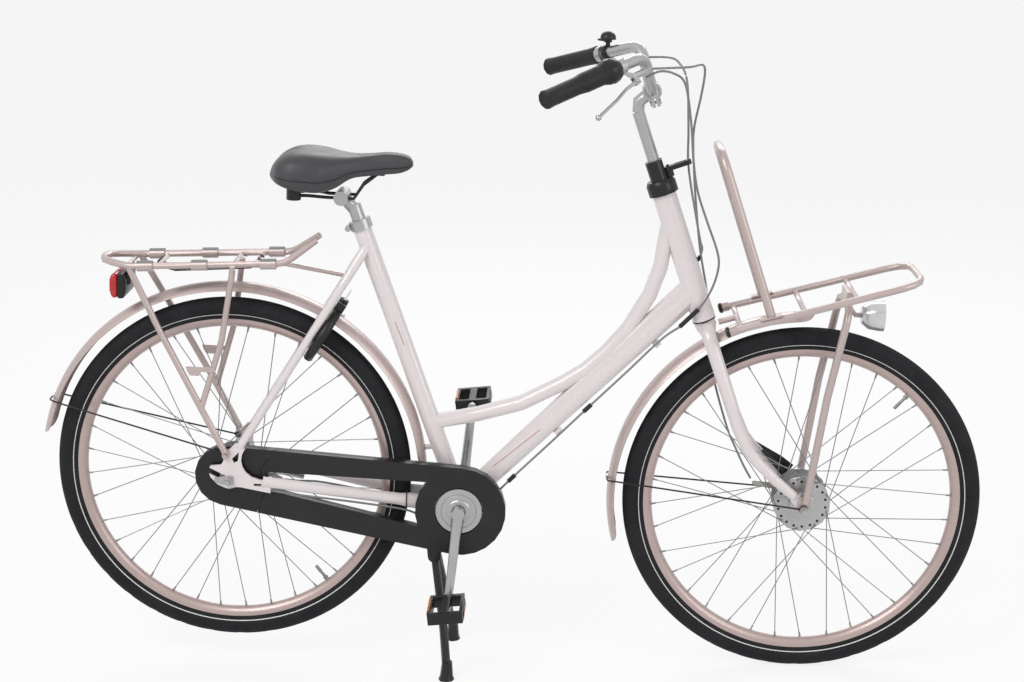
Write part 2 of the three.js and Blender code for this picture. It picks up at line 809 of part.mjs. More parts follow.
const stemRadius = 11.5;
const stemInsertion = 74;
const collarRadius = 17.5;
const collarBase = headTubeLength + upperCupHeight + gap;
const collarHeight = 38;
const collarBossAhead = 21.7;
const collarBossRadius = 8;
const collarBossHeight = 11;
const leverPinRadius = 3;
const leverThickness = 9;
const leverRootRadius = 9;
const leverTipRadius = 7.5;
const leverLength = 38;
const stemClampHeight = headTubeLength + stemRise + 6;
const stemClampRadius = 18;
const stemClampWidth = 42;
const stemSlot = 3;
const stemBoltRadius = 3.2;
const stemBossSize = 15;

function stemCollar() {
  const top = collarBase + collarHeight;
  const body = rod(at(0, 0, collarBase), at(0, 0, top), collarRadius, 12);
  const bossTop = collarBase + collarBossHeight;
  const boss = rod(at(collarBossAhead, 0, collarBase), at(collarBossAhead, 0, bossTop), collarBossRadius, 10);
  const web = block(collarBossAhead, collarBossRadius, collarBossHeight, at(collarBossAhead / 2, 0,
    collarBase + collarBossHeight / 2));
  const pinTop = bossTop + gap + leverThickness + leverPinRadius;
  const pin = rod(at(collarBossAhead, 0, bossTop - gap), at(collarBossAhead, 0, pinTop), leverPinRadius, 10);
  const bore = rod(at(0, 0, collarBase - overrun), at(0, 0, top + overrun), stemRadius + 2 * gap, 12);
  const notch = collarRadius - leverRootRadius;
  const relief = rod(at(collarBossAhead, 0, bossTop), at(collarBossAhead, 0, top + overrun),
    leverRootRadius + runningGap + notch / overrun, 12);
  return fuse(steered(fuse(cut(fuse(body, boss, web), bore, relief), pin)), headsetUpper());
}

function stemLever() {
  const base = collarBase + collarBossHeight + gap;
  const root = arc([collarBossAhead, 0], leverRootRadius, 90, 270, 6);
  const tip = arc([collarBossAhead + leverLength, 0], leverTipRadius, -90, 90, 4);
  const shape = new THREE.Shape([...root, ...tip].map(([x, y]) => new THREE.Vector2(x, y)));
  const eye = arc([collarBossAhead, 0], leverPinRadius + 2 * gap, 0, 315, 7);
  const slot = [
    ...arc([collarBossAhead + leverLength * 0.42, 0], leverTipRadius / 2, 90, 270, 3),
    ...arc([collarBossAhead + leverLength * 0.92, 0], leverTipRadius / 2, -90, 90, 3),
  ];
  shape.holes = [eye, slot].map((hole) => new THREE.Path(hole.map(([x, y]) => new THREE.Vector2(x, y))));
  const settings = { depth: leverThickness, bevelEnabled: false };
  return steered(new THREE.ExtrudeGeometry(shape, settings).translate(0, 0, base));
}

const stemBolt = at(stemReach, 0, stemClampHeight - stemClampRadius - stemBossSize / 3);

function stem() {
  const centre = at(stemReach, 0, stemClampHeight);
  const half = at(0, stemClampWidth / 2, 0);
  const foot = at(0, 0, headTubeLength + upperCupHeight - stemInsertion);
  const shoulder = at(0, 0, stemClampHeight - stemClampRadius - stemRadius);
  const neckSizes = [[stemRadius, stemRadius], [stemRadius * 1.2, stemRadius * 1.1], [stemClampRadius, stemRadius]];
  const neck = sweep([shoulder, at(stemReach * 0.2, 0, stemClampHeight - stemRadius), centre], neckSizes, 10);
  const boss = block(stemBossSize, stemClampWidth * 0.6, stemBossSize, stemBolt);
  const body = fuse(
    rod(foot, shoulder, stemRadius, 12),
    neck,
    rod(centre.clone().sub(half), centre.clone().add(half), stemClampRadius, 12),
    boss,
  );
  const reach = at(0, stemClampWidth, 0);
  const bore = rod(centre.clone().sub(reach), centre.clone().add(reach), barClampRadius + 2 * gap, 12);
  const slot = block(stemSlot, stemClampWidth * 2, stemClampRadius * 2, at(stemReach, 0,
    stemClampHeight - stemClampRadius - stemSlot));
  return steered(fuse(cut(body, bore, slot), stemBoltPiece()));
}

function stemBoltPiece() {
  const half = stemBossSize / 2;
  const head = stemBoltRadius * 1.7;
  const start = along(stemBolt, at(-1, 0, 0), half);
  const end = along(stemBolt, at(1, 0, 0), half);
  return fuse(
    rod(start, end, stemBoltRadius, 6),
    rod(along(end, at(-1, 0, 0), gap), along(end, at(1, 0, 0), stemBoltRadius), head, 8),
    rod(along(start, at(-1, 0, 0), stemBoltRadius), along(start, at(1, 0, 0), gap), head, 6),
  );
}

// Handlebar and grips

const barCornerShares = [[0, 0.184, 0], [-0.092, 0.404, 0.296], [-0.776, 1, 0.028]];
const barBendRadius = 35;
const barSides = 10;
const gripWall = 4.6;
const gripFlare = 7;
const gripCap = 5;
const leftGripLength = 128;
const rightGripLength = 84;
const twistLength = 59;
const shifterLength = 26;
const shifterRadius = 22;
const gripSides = 10;
const clampWidth = 13;
const barCentre = bySteering(stemClampHeight, stemReach);

function barCorner(index, side) {
  const [ahead, across, up] = barCornerShares[index];
  const size = barHalfWidth;
  return at(barCentre.x + ahead * size, side * across * size, barCentre.z + up * size);
}

function handlebar() {
  const half = [0, 1, 2];
  const corners = [
    ...half.map((i) => barCorner(2 - i, right)),
    ...half.map((i) => barCorner(i, left)),
  ];
  const sleeve = at(0, stemClampWidth / 2 + barRadius / 4, 0);
  const middle = rod(barCentre.clone().sub(sleeve), barCentre.clone().add(sleeve), barClampRadius, 12);
  return fuse(tube(bent(corners, barBendRadius, 3), barRadius, barSides), middle);
}

// The straight end of the bar: where it ends, and the way back in along it.
function barEnd(side) {
  const tip = barCorner(2, side);
  return { tip, inward: barCorner(1, side).sub(tip).normalize() };
}

function onBar(side, profile, count = gripSides) {
  const { tip, inward } = barEnd(side);
  return revolve(profile, count, tip, inward);
}

const gripBore = barRadius + 2 * gap;
const gripRadius = gripBore + gripWall;

function grip(side, length) {
  return onBar(side, [
    [0, -gripCap],
    [gripRadius - gripWall / 3, -gripCap],
    [gripRadius + gripWall / 4, gap - gripCap / 2],
    [gripRadius, gripCap * 2],
    [gripRadius, length * 0.85],
    [gripRadius + gripWall / 3, length],
    [gripBore, length],
    [gripBore, -gap],
    [0, -gap],
  ]);
}

function twistGrip() {
  const start = rightGripLength + gap;
  const end = start + twistLength;
  return onBar(right, [
    [gripBore, start],
    [gripRadius + gripWall / 3, start],
    [gripRadius + gripWall / 2, start + gripCap],
    [gripRadius + gripWall / 2, end - twistLength / 4],
    [gripRadius + gripFlare, end],
    [gripBore, end],
    [gripBore, start],
  ]);
}

function shifterHousing() {
  const start = rightGripLength + twistLength + 2 * gap;
  const end = start + shifterLength;
  return onBar(right, [
    [gripBore, start],
    [shifterRadius, start],
    [shifterRadius + gripWall / 2, start + shifterLength * 0.3],
    [shifterRadius, end - shifterLength * 0.2],
    [shifterRadius - gripWall, end],
    [gripBore, end],
    [gripBore, start],
  ]);
}

// Brake levers

const brakeReachDeg = 48;
const bracketClampWall = 4;
const leverPivotReach = 38;
const leverPivotBack = 12;
const bracketLength = 40;
const bracketReach = 27;
const bracketBodyRadius = 7;
const bladeShares = [[-0.1, 0.53], [0.16, 0.6], [0.45, 0.76], [0.75, 0.88], [0.97, 0.97]];
const bladeLength = 109;
const bladeReach = 72;
const bladeWidth = 7;
const bladeThickness = 3.4;
const bladeBallRadius = 6;
const pivotPinRadius = 2.5;
const barrelRadius = 4;
const barrelLength = 16;
const clampPlace = { [right]: rightGripLength + twistLength + shifterLength + 3 * gap, [left]: leftGripLength + gap };

// The plane of a brake lever: out along the grip, away from it, and across the lever.
function leverFrame(side) {
  const { tip, inward } = barEnd(side);
  const origin = along(tip, inward, clampPlace[side] + clampWidth / 2);
  const outward = inward.clone().negate();
  const ahead = at(0, 0, 1).cross(outward).multiplyScalar(-side).normalize();
  const down = ahead.clone().cross(outward).multiplyScalar(side).normalize();
  if (down.z > 0) down.negate();
  const angle = brakeReachDeg * degree;
  const away = ahead.multiplyScalar(Math.cos(angle)).addScaledVector(down, Math.sin(angle));
  return { origin, outward, away, across: outward.clone().cross(away) };
}

function leverPoint(side, out, away, across = 0) {
  const frameOf = leverFrame(side);
  return along(along(along(frameOf.origin, frameOf.outward, out), frameOf.away, away), frameOf.across, across);
}

function leverPivot(side, across = 0) {
  return leverPoint(side, -leverPivotBack, leverPivotReach, across);
}

function brakeBracket(side) {
  const start = clampPlace[side];
  const band = onBar(side, [
    [gripBore, start],
    [gripBore + bracketClampWall, start],
    [gripBore + bracketClampWall, start + clampWidth],
    [gripBore, start + clampWidth],
    [gripBore, start],
  ]);
  const size = [bracketBodyRadius, bracketBodyRadius];
  const body = sweep([
    leverPoint(side, 0, gripBore + bracketClampWall * 0.6),
    leverPoint(side, -leverPivotBack, bracketReach),
    leverPoint(side, -bracketLength, bracketReach),
  ], [size.map((value) => value * 0.4), size, size.map((value) => value * 0.8)], 6);
  const half = bladeWidth / 2 + gap;
  const cheek = half + bladeThickness;
  const ear = sweep([
    leverPoint(side, -leverPivotBack, bracketReach),
    leverPivot(side),
    leverPoint(side, -leverPivotBack, leverPivotReach + bracketBodyRadius * 0.8),
  ], [[bracketBodyRadius, cheek], [bracketBodyRadius * 0.8, cheek], [bracketBodyRadius * 0.4, cheek]], 4);
  const room = rod(leverPivot(side, -half), leverPivot(side, half), bracketBodyRadius * 1.4, 6);
  const pin = rod(leverPivot(side, -half - gap), leverPivot(side, half + gap), pivotPinRadius, 5);
  return fuse(cut(fuse(band, body, ear), room), pin, brakeBarrel(side));
}

function brakeBarrel(side) {
  const start = leverPoint(side, gap - bracketLength, bracketReach);
  const end = leverPoint(side, -bracketLength - barrelLength, bracketReach);
  return cone(start, end, barrelRadius, barrelRadius * 0.8, 6);
}

function brakeBlade(side) {
  const line = bladeShares.map(([out, away]) => leverPoint(side, out * bladeLength, away * bladeReach));
  const sizes = line.map((_, i) => [bladeThickness * (i === 0 ? 1.2 : 1), (bladeWidth - (i === 0 ? gap : 0)) / 2]);
  const { across } = leverFrame(side);
  const rings = line.map((point, i) => {
    const before = line[Math.max(i - 1, 0)];
    const after = line[Math.min(i + 1, line.length - 1)];
    const thick = after.clone().sub(before).normalize().cross(across);
    return circle(1, 6).map((spot) => (
      along(along(point, across, spot.x * sizes[i][1]), thick, spot.y * sizes[i][0])
    ));
  });
  const ball = new THREE.SphereGeometry(bladeBallRadius, 7, 4).translate(...line[line.length - 1].toArray());
  const half = bladeWidth / 2 - gap;
  const eye = rod(leverPivot(side, -half), leverPivot(side, half), bracketBodyRadius - gap, 6);
  const hole = rod(leverPivot(side, -bladeWidth), leverPivot(side, bladeWidth), pivotPinRadius + 2 * gap, 5);
  return cut(fuse(loft(rings), ball, eye), hole);
}

// Bell

const bellPlace = leftGripLength + clampWidth + bracketBodyRadius;
const bellBandWidth = 9;
const bellRadius = 16;
const bellHeight = 13;
const bellRise = 17;
const bellStemRadius = 5;
const bellDiscThickness = 3;
const bellLeverLength = 26;
const bellLeverRadius = 2.6;

function bell() {
  const { tip, inward } = barEnd(left);
  const centre = along(tip, inward, bellPlace + bellBandWidth / 2);
  const top = along(centre, upAxis, gripBore + bellRise);
  const band = onBar(left, [
    [gripBore, bellPlace],
    [gripBore + bracketClampWall, bellPlace],
    [gripBore + bracketClampWall, bellPlace + bellBandWidth],
    [gripBore, bellPlace + bellBandWidth],
    [gripBore, bellPlace],
  ]);
  const stalk = rod(along(centre, upAxis, gripBore + bracketClampWall / 2), top, bellStemRadius, 6);
  return fuse(band, stalk, bellDome());
}

function bellTop() {
  const { tip, inward } = barEnd(left);
  return along(along(tip, inward, bellPlace + bellBandWidth / 2), upAxis, gripBore + bellRise + gap);
}

function bellDome() {
  const round = arc([0, 0], 1, 0, 90, 4).map(([x, y]) => [x * bellRadius, y * bellHeight]);
  round[round.length - 1][0] = 0;
  return revolve([[0, -bellDiscThickness], [bellRadius, -bellDiscThickness], ...round], 10, bellTop(), upAxis);
}

function bellLever() {
  const eye = bellStemRadius + 2 * gap;
  const collar = eye + bellLeverRadius;
  const low = along(bellTop(), upAxis, -bellDiscThickness - 2 * gap - 2 * bellLeverRadius);
  const outward = at(-1, left, 0).normalize();
  const middle = along(low, upAxis, bellLeverRadius);
  const arm = rod(along(middle, outward, eye + gap), along(middle, outward, bellLeverLength), bellLeverRadius - gap, 8);
  return fuse(ring(eye, collar, 0, 2 * bellLeverRadius, 10, low, upAxis), arm);
}

// Drive

const chainY = -chainLine;
const rollerRadius = 3.9;
const linkInner = 3.1;
const linkOuter = 4.7;
const linkHalfHeight = 4.2;
const rollersPerRivet = 9;
const toothHalfThickness = 1.3;
const toothRootDepth = 4.4;
const toothTipRise = 2.2;
const toothRootHalfWidth = 3.2;
const chainringRadius = pitchRadius(chainringTeeth);
const sprocketRadius = pitchRadius(sprocketTeeth);
const spindleRadius = 8.5;
const crankBossRadius = 13;
const crankBossInner = 52.3;
const sleeveEnd = crankBossInner - gap;
const sprocketBodyRadius = 18;
const sprocketBodyInner = 34.6;
const sprocketBodyOuter = 53;

function pitchRadius(teeth) {
  return chainPitch / (2 * Math.sin(Math.PI / teeth));
}

// The directions in which a belt round both wheels leaves them.
function beltLines(rear, rearRadius, front, frontRadius) {
  const run = [front[0] - rear[0], front[1] - rear[1]];
  const headingDeg = Math.atan2(run[1], run[0]) / degree;
  const leanDeg = Math.asin((frontRadius - rearRadius) / Math.hypot(...run)) / degree;
  return { upperDeg: headingDeg + 90 + leanDeg, lowerDeg: headingDeg - 90 - leanDeg };
}

function beltOutline(rear, rearRadius, front, frontRadius, rearSteps, frontSteps) {
  const { upperDeg, lowerDeg } = beltLines(rear, rearRadius, front, frontRadius);
  return [
    ...arc(front, frontRadius, lowerDeg, upperDeg, frontSteps),
    ...arc(rear, rearRadius, upperDeg, lowerDeg + 360, rearSteps),
  ];
}

const chainRear = [rearAxle.x, rearAxle.z];
const chainFront = [bracket.x, bracket.z];

// Evenly shared places between two angles, over one wheel, the free run and the other wheel.
function freeRun(from, to) {
  const lengths = [
    Math.abs(from.offDeg - from.deg) * degree * from.radius,
    Math.hypot(to.off[0] - from.off[0], to.off[1] - from.off[1]),
    Math.abs(to.deg - to.offDeg) * degree * to.radius,
  ];
  const whole = lengths[0] + lengths[1] + lengths[2];
  const count = Math.ceil(whole / chainPitch);
  return Array.from({ length: count - 1 }, (_, i) => {
    const done = (whole * (i + 1)) / count;
    if (done < lengths[0]) {
      return arc(from.centre, from.radius, from.deg + (from.offDeg - from.deg) * (done / lengths[0]), 0, 1)[0];
    }
    const rest = done - lengths[0];
    if (rest < lengths[1]) return from.off.map((value, k) => value + (to.off[k] - value) * (rest / lengths[1]));
    const share = (rest - lengths[1]) / lengths[2];
    return arc(to.centre, to.radius, to.offDeg + (to.deg - to.offDeg) * share, 0, 1)[0];
  });
}

function wheelEnd(centre, radius, offDeg, deg) {
  return { centre, radius, offDeg, deg, off: arc(centre, radius, offDeg, 0, 1)[0] };
}

// The middles of the rollers: in the valleys on both wheels and evenly along the free runs.
function rollerCentres() {
  const { upperDeg, lowerDeg } = beltLines(chainRear, sprocketRadius, chainFront, chainringRadius);
  const frontStep = 360 / chainringTeeth;
  const rearStep = 360 / sprocketTeeth;
  const frontFirst = Math.ceil(lowerDeg / frontStep) * frontStep;
  const frontLast = Math.floor(upperDeg / frontStep) * frontStep;
  const rearFirst = Math.ceil(upperDeg / rearStep) * rearStep;
  const rearLast = Math.floor((lowerDeg + 360) / rearStep) * rearStep;
  return [
    ...arc(chainFront, chainringRadius, frontFirst, frontLast, (frontLast - frontFirst) / frontStep),
    ...freeRun(
      wheelEnd(chainFront, chainringRadius, upperDeg, frontLast),
      wheelEnd(chainRear, sprocketRadius, upperDeg, rearFirst),
    ),
    ...arc(chainRear, sprocketRadius, rearFirst, rearLast, (rearLast - rearFirst) / rearStep),
    ...freeRun(
      wheelEnd(chainRear, sprocketRadius, lowerDeg + 360, rearLast),
      wheelEnd(chainFront, chainringRadius, lowerDeg, frontFirst),
    ),
  ];
}

// A roller chain: two rows of side links and a roller between them at each pitch.
function chain() {
  const loop = (rise) => beltOutline(chainRear, sprocketRadius + rise, chainFront, chainringRadius + rise, 7, 10);
  const links = sides.map((side) => {
    const edges = [side * linkInner, side * linkOuter].sort((a, b) => a - b);
    return plate(loop(linkHalfHeight), chainY + edges[0], chainY + edges[1], [loop(-linkHalfHeight)]);
  });
  const fixed = (linkInner + linkOuter) / 2;
  const rollers = rollerCentres().map(([x, z], i) => {
    const far = i % rollersPerRivet === 0 ? fixed : linkInner - gap / 10;
    return rod(at(x, chainY - fixed, z), at(x, chainY + far, z), rollerRadius, 3);
  });
  return fuse(...links, ...rollers);
}

function toothedOutline(centre, teeth) {
  const pitch = pitchRadius(teeth);
  const rootDeg = Math.atan(toothRootHalfWidth / (pitch - toothRootDepth)) / degree;
  const outline = [];
  for (let i = 0; i < teeth; i += 1) {
    const middleDeg = ((i + 0.5) * 360) / teeth;
    outline.push(
      arc(centre, pitch - toothRootDepth, middleDeg - rootDeg, 0, 1)[0],
      arc(centre, pitch + toothTipRise, middleDeg, 0, 1)[0],
      arc(centre, pitch - toothRootDepth, middleDeg + rootDeg, 0, 1)[0],
    );
  }
  return outline;
}

const chainringWindowShare = 0.52;
const chainringWindowWidth = 0.3;

function chainring() {
  const window = (turnDeg) => circle(chainringRadius * chainringWindowWidth / 2, 4).map((spot) => {
    const [x, z] = arc(chainFront, chainringRadius * chainringWindowShare, turnDeg, 0, 1)[0];
    return [x + spot.x, z + spot.y];
  });
  const bore = spindleRadius + gap;
  const holes = [circle(crankBossRadius - gap, 12).map((spot) => [chainFront[0] + spot.x, chainFront[1] + spot.y])];
  const windows = [0, 90, 180, 270].map(window);
  const disc = plate(toothedOutline(chainFront, chainringTeeth), chainY - toothHalfThickness,
    chainY + toothHalfThickness, [...holes, ...windows]);
  const inner = chainY + toothHalfThickness;
  return fuse(disc, ring(bore, crankBossRadius, -sleeveEnd, inner, 12, bracket, acrossAxis));
}

function sprocket() {
  const holes = [circle(sprocketBodyRadius - gap, 12).map((spot) => [spot.x, spot.y])];
  const disc = plate(toothedOutline(chainRear, sprocketTeeth), chainY - toothHalfThickness,
    chainY + toothHalfThickness, holes);
  return fuse(disc, ring(hubBore, sprocketBodyRadius, -sprocketBodyOuter, -sprocketBodyInner, 12, rearAxle,
    acrossAxis));
}

// Cranks and pedals

const crankAngleDeg = { [right]: -94, [left]: 86 };
const spindleHalf = 76;
const crankSplay = 12;
const crankThickness = 14;
const crankEndWidth = 20;
const pedalThreadRadius = 6;
const pedalGap = 6;
const pedalLength = 68;
const pedalHeight = 23;
const pedalTiltDeg = 8;
const pedalWindowShare = 0.3;
const reflectorWidth = 60;
const reflectorHeight = 13;
const reflectorDepth = 4;
const crankDiscRadius = 45.6;
const caseOuter = 58.5;
const caseInner = 37.3;
const caseWall = 1.8;
const caseGapRadius = 48;

function crankTip(side) {
  const angle = crankAngleDeg[side] * degree;
  const middle = crankOffset + crankThickness / 2 + crankSplay;
  return at(bracket.x + crankLength * Math.cos(angle), side * middle, bracket.z + crankLength * Math.sin(angle));
}

function crank(side) {
  const root = at(bracket.x, side * (crankOffset + crankThickness / 2), bracket.z);
  const tip = crankTip(side);
  const reach = tip.clone().sub(root).setY(0).normalize();
  const start = along(root, reach, crankBossRadius * 0.4);
  const bend = between(root, tip, 0.28).setY(root.y);
  const half = crankThickness / 2;
  const arm = sweep([start, bend, along(tip, reach, half)],
    [[half, crankBossRadius], [half * 0.9, crankEndWidth / 2], [half * 0.9, crankEndWidth * 0.4]], 8);
  const outer = crankOffset + crankThickness;
  const boss = rod(at(bracket.x, side * crankBossInner, bracket.z), at(bracket.x, side * outer, bracket.z),
    crankBossRadius, 12);
  const eye = rod(along(tip, acrossAxis, -half), along(tip, acrossAxis, half), crankEndWidth / 2, 8);
  const bore = rod(at(bracket.x, 0, bracket.z), at(bracket.x, side * (outer + overrun), bracket.z),
    spindleRadius + gap, 10);
  const bored = side === left ? cut(fuse(arm, boss, eye), bore) : fuse(arm, boss, eye, crankDisc(), spindle());
  return fuse(bored, pedalSpindle(side));
}

function spindle() {
  return rod(at(bracket.x, -spindleHalf, bracket.z), at(bracket.x, spindleHalf, bracket.z), spindleRadius, 10);
}

const cupFlange = 21;
const cupNose = 18;
const cupEnd = 40;

// A sealed unit: both cups, their flanges and the sleeve between them.
function bottomBracket() {
  const shell = bracketShellWidth / 2;
  const inner = spindleRadius + 2 * gap;
  const sleeve = bracketBoreRadius - 3 * gap;
  const half = [
    [inner, cupEnd],
    [cupNose, cupEnd],
    [cupNose, caseInner - gap],
    [cupFlange, caseInner - gap],
    [cupFlange, shell + gap],
    [sleeve, shell + gap],
  ];
  const rest = half.map(([radius, height]) => [radius, -height]).reverse();
  return revolve([...half, ...rest, half[0]], 10, bracket);
}

function crankDisc() {
  return ring(crankBossRadius - crankThickness / 4, crankDiscRadius, -caseOuter, caseWall - caseOuter, 16, bracket, acrossAxis);
}

function pedalStart(side) {
  return Math.abs(crankTip(side).y) + crankThickness / 2 + pedalGap;
}

function pedalSpindle(side) {
  const tip = crankTip(side);
  const inner = at(tip.x, tip.y, tip.z);
  const shoulder = at(tip.x, side * (pedalStart(side) - gap), tip.z);
  const outer = at(tip.x, side * (pedalStart(side) + pedalWidth * 0.9), tip.z);
  return fuse(rod(inner, shoulder, pedalThreadRadius, 8), rod(shoulder, outer, pedalThreadRadius * 0.8, 8));
}

function pedalTurned(side, geometry) {
  const tip = crankTip(side);
  return plain(geometry.rotateY(-pedalTiltDeg * degree).translate(tip.x, 0, tip.z));
}

// A plastic pedal: a barrel on its spindle, two cross webs and a frame that holds a reflector at each end.
function pedal(side) {
  const start = pedalStart(side);
  const middle = side * (start + pedalWidth / 2);
  const body = block(pedalLength, pedalWidth, pedalHeight, at(0, middle, 0));
  const windowLength = pedalLength * pedalWindowShare;
  const windows = [-1, 1].map((way) => (
    block(windowLength, pedalWidth * 0.78, pedalHeight * 2, at(way * windowLength * 0.85, middle, 0))
  ));
  const bore = rod(at(0, side * (start - overrun), 0), at(0, side * (start + pedalWidth * 0.92), 0),
    pedalThreadRadius * 0.8 + 2 * gap, 10);
  const reflectors = [-1, 1].map((way) => (
    block(reflectorDepth, reflectorWidth, reflectorHeight, at(way * pedalLength / 2, middle, 0))
  ));
  return pedalTurned(side, fuse(cut(body, ...windows, bore), ...reflectors));
}

// Chaincase

const caseRear = [-8, 4];
const caseRearRadius = 61;
const caseFront = [bracket.x + 2, bracket.z - 1];
const caseFrontRadius = 90;
const caseAxleRadius = 15;
const caseHubRadius = 30;
const openingRadius = 88;
const openingRearX = 75;
const openingRearTop = 17;
const openingRearLow = -20;
const openingTopDeg = 139;
const openingLowDeg = 204;
const capSplit = [[92, 75], [60, 20], [70, -22], [52, -75]];

function caseHull(inset) {
  return beltOutline(caseRear, caseRearRadius - inset, caseFront, caseFrontRadius - inset, 8, 12);
}

// The long opening between the upper and the lower run, which the stay passes through.
function caseOpening(grow) {
  const turnDeg = (2.2 * grow) / openingRadius / degree;
  return [
    ...arc(caseFront, openingRadius - grow, openingTopDeg - turnDeg, openingLowDeg + turnDeg, 4),
    [openingRearX - grow, openingRearLow - grow],
    [openingRearX - grow, openingRearTop + grow],
  ];
}

function caseShell() {
  const body = plate(caseHull(0), -caseOuter, -caseInner, [caseOpening(0)]);
  const cavity = plate(caseHull(caseWall), caseWall - caseOuter, -caseInner - caseWall, [caseOpening(caseWall)]);
  const cupHole = rod(at(bracket.x, -chainLine, bracket.z), at(bracket.x, 0, bracket.z), cupNose + 2 * gap, 10);
  const discHole = rod(at(bracket.x, -chainLine, bracket.z), at(bracket.x, -caseOuter - overrun, bracket.z),
    caseGapRadius, 20);
  const axleHole = rod(at(0, -chainLine, 0), at(0, -caseOuter - overrun, 0), caseAxleRadius, 12);
  const hubHole = rod(at(0, -chainLine, 0), at(0, 0, 0), caseHubRadius, 14);
  return cut(body, cavity, cupHole, discHole, axleHole, hubHole);
}

function capRegion(shift) {
  const far = caseRear[0] - caseRearRadius - overrun;
  const edge = capSplit.map(([x, z]) => [x - shift, z]);
  return plate([[far, edge[0][1]], [far, edge[3][1]], edge[3], edge[2], edge[1], edge[0]],
    -caseOuter - overrun, -caseInner + overrun);
}

function chaincase() {
  return cut(caseShell(), capRegion(0));
}

function chaincaseCap() {
  return overlapOf(caseShell(), capRegion(runningGap));
}

// Mudguards and their stays

const mudguardThickness = 1.6;
const mudguardEdgeRadius = 368;
const mudguardSideSteps = 4;
const rearGuardDeg = [4, 171];
const frontGuardDeg = [91, 196];
const guardSteps = 16;
const frontGuardSteps = 11;
const stayWireRadius = 1.7;
const frontStayDeg = 176;
const rearStayDeg = 160;
const stayEyeWall = 3.4;

// A thin curved guard whose section is a flat arc, swept round the wheel.
function mudguard(hub, [fromDeg, toDeg], steps) {
  const half = mudguardWidth / 2;
  const rise = mudguardRadius - mudguardEdgeRadius;
  const curve = (half * half + rise * rise) / (2 * rise);
  const spanDeg = Math.asin(half / curve) / degree;
  const skin = (radius, way) => arc([mudguardRadius - curve, 0], radius, -way * spanDeg, way * spanDeg,
    mudguardSideSteps);
  const section = [...skin(curve, 1), ...skin(curve - mudguardThickness, -1)];
  const rings = arc([0, 0], 1, fromDeg, toDeg, steps).map(([x, z]) => (
    section.map(([radius, across]) => at(hub.x + radius * x, across, hub.z + radius * z))
  ));
  return loft(rings);
}

// A wire from both ends of the axle round the outside of a mudguard, held by a screw in its crown.
function guardStay(hub, angleDeg, foot, eyeRadius, [eyeLow, eyeHigh]) {
  const outer = mudguardRadius + stayWireRadius + gap;
  const edge = byWheel(hub, mudguardEdgeRadius, angleDeg, mudguardWidth / 2 + stayWireRadius + gap);
  const corner = byWheel(hub, outer, angleDeg, mudguardWidth / 2 + stayWireRadius + gap);
  const half = [foot, edge, corner];
  const line = [...half, ...half.map((point) => onSide(point, right)).reverse()];
  const eyes = sides.map((side) => (
    ring(eyeRadius, eyeRadius + stayEyeWall, eyeLow, eyeHigh, 8, at(foot.x, 0, foot.z), at(0, side, 0))
  ));
  const wire = tube(bent(line, mudguardWidth / 5, 1), stayWireRadius, 5);
  const bore = rod(onSide(at(foot.x, foot.y * 2, foot.z), right), at(foot.x, foot.y * 2, foot.z), eyeRadius, 8);
  const screw = rod(byWheel(hub, mudguardRadius - mudguardThickness * 2, angleDeg),
    byWheel(hub, outer + stayWireRadius, angleDeg), stayEyeWall, 6);
  return fuse(cut(wire, bore), ...eyes, screw);
}

// Rear carrier

const carrierTubeRadius = 7;
const carrierStrutRadius = 6.5;
const carrierSides = 6;
const rearHoop = at(-256, 0, 418);
const rearCorner = at(-195, rearCarrierHalfWidth, rearCarrierHeight - 11);
const rearRailFront = at(100, rearCarrierHalfWidth - 1, rearCarrierHeight + 9);
const rearRailTip = at(rearRailFront.x + 56, rearCarrierHalfWidth * 0.42, rearCarrierHeight + 51);
const eyeletAt = at(eyeletShares[0] * dropoutReach, 0, eyeletShares[1] * dropoutReach);
const rearStrutPoints = [
  at(-196, 54, 410), at(-134, 72, 295), at(-62, 81, 165), at(eyeletAt.x, 82, eyeletAt.z + carrierStrutRadius * 1.5),
];
const tabThickness = 3;
const rearTabInner = 82 - carrierStrutRadius;
const frontStrutPoints = [at(2, 54, 416), at(-15, 70, 282), at(-52, 79.5, 148)];
const carrierCrossX = [-143, 2, 44];
const lampBarX = -205;
const lampBarHeight = 409;
const lampBarRadius = 4.2;
const carrierTubeRoom = carrierTubeRadius / Math.cos(Math.PI / carrierSides) + gap;
const padPlaces = [-165, -61, 70];
const padLength = 30;
const padHeight = 2.5;

// A flat tab that hangs from a strut's foot, with a hole for an axle or a bolt.
function hangerTab(centre, radius, reach, inner, eye = 0) {
  const outline = [
    ...arc([centre.x, centre.z], radius, 180, 360, 5),
    [centre.x + radius, centre.z + reach], [centre.x - radius, centre.z + reach],
  ];
  const holes = eye > 0 ? [arc([centre.x, centre.z], eye, 0, 315, 7)] : [];
  return plate(outline, inner, inner + tabThickness, holes);
}

function rearRailHeight(x) {
  const share = (x - rearCorner.x) / (rearRailFront.x - rearCorner.x);
  return rearCorner.z + share * (rearRailFront.z - rearCorner.z);
}

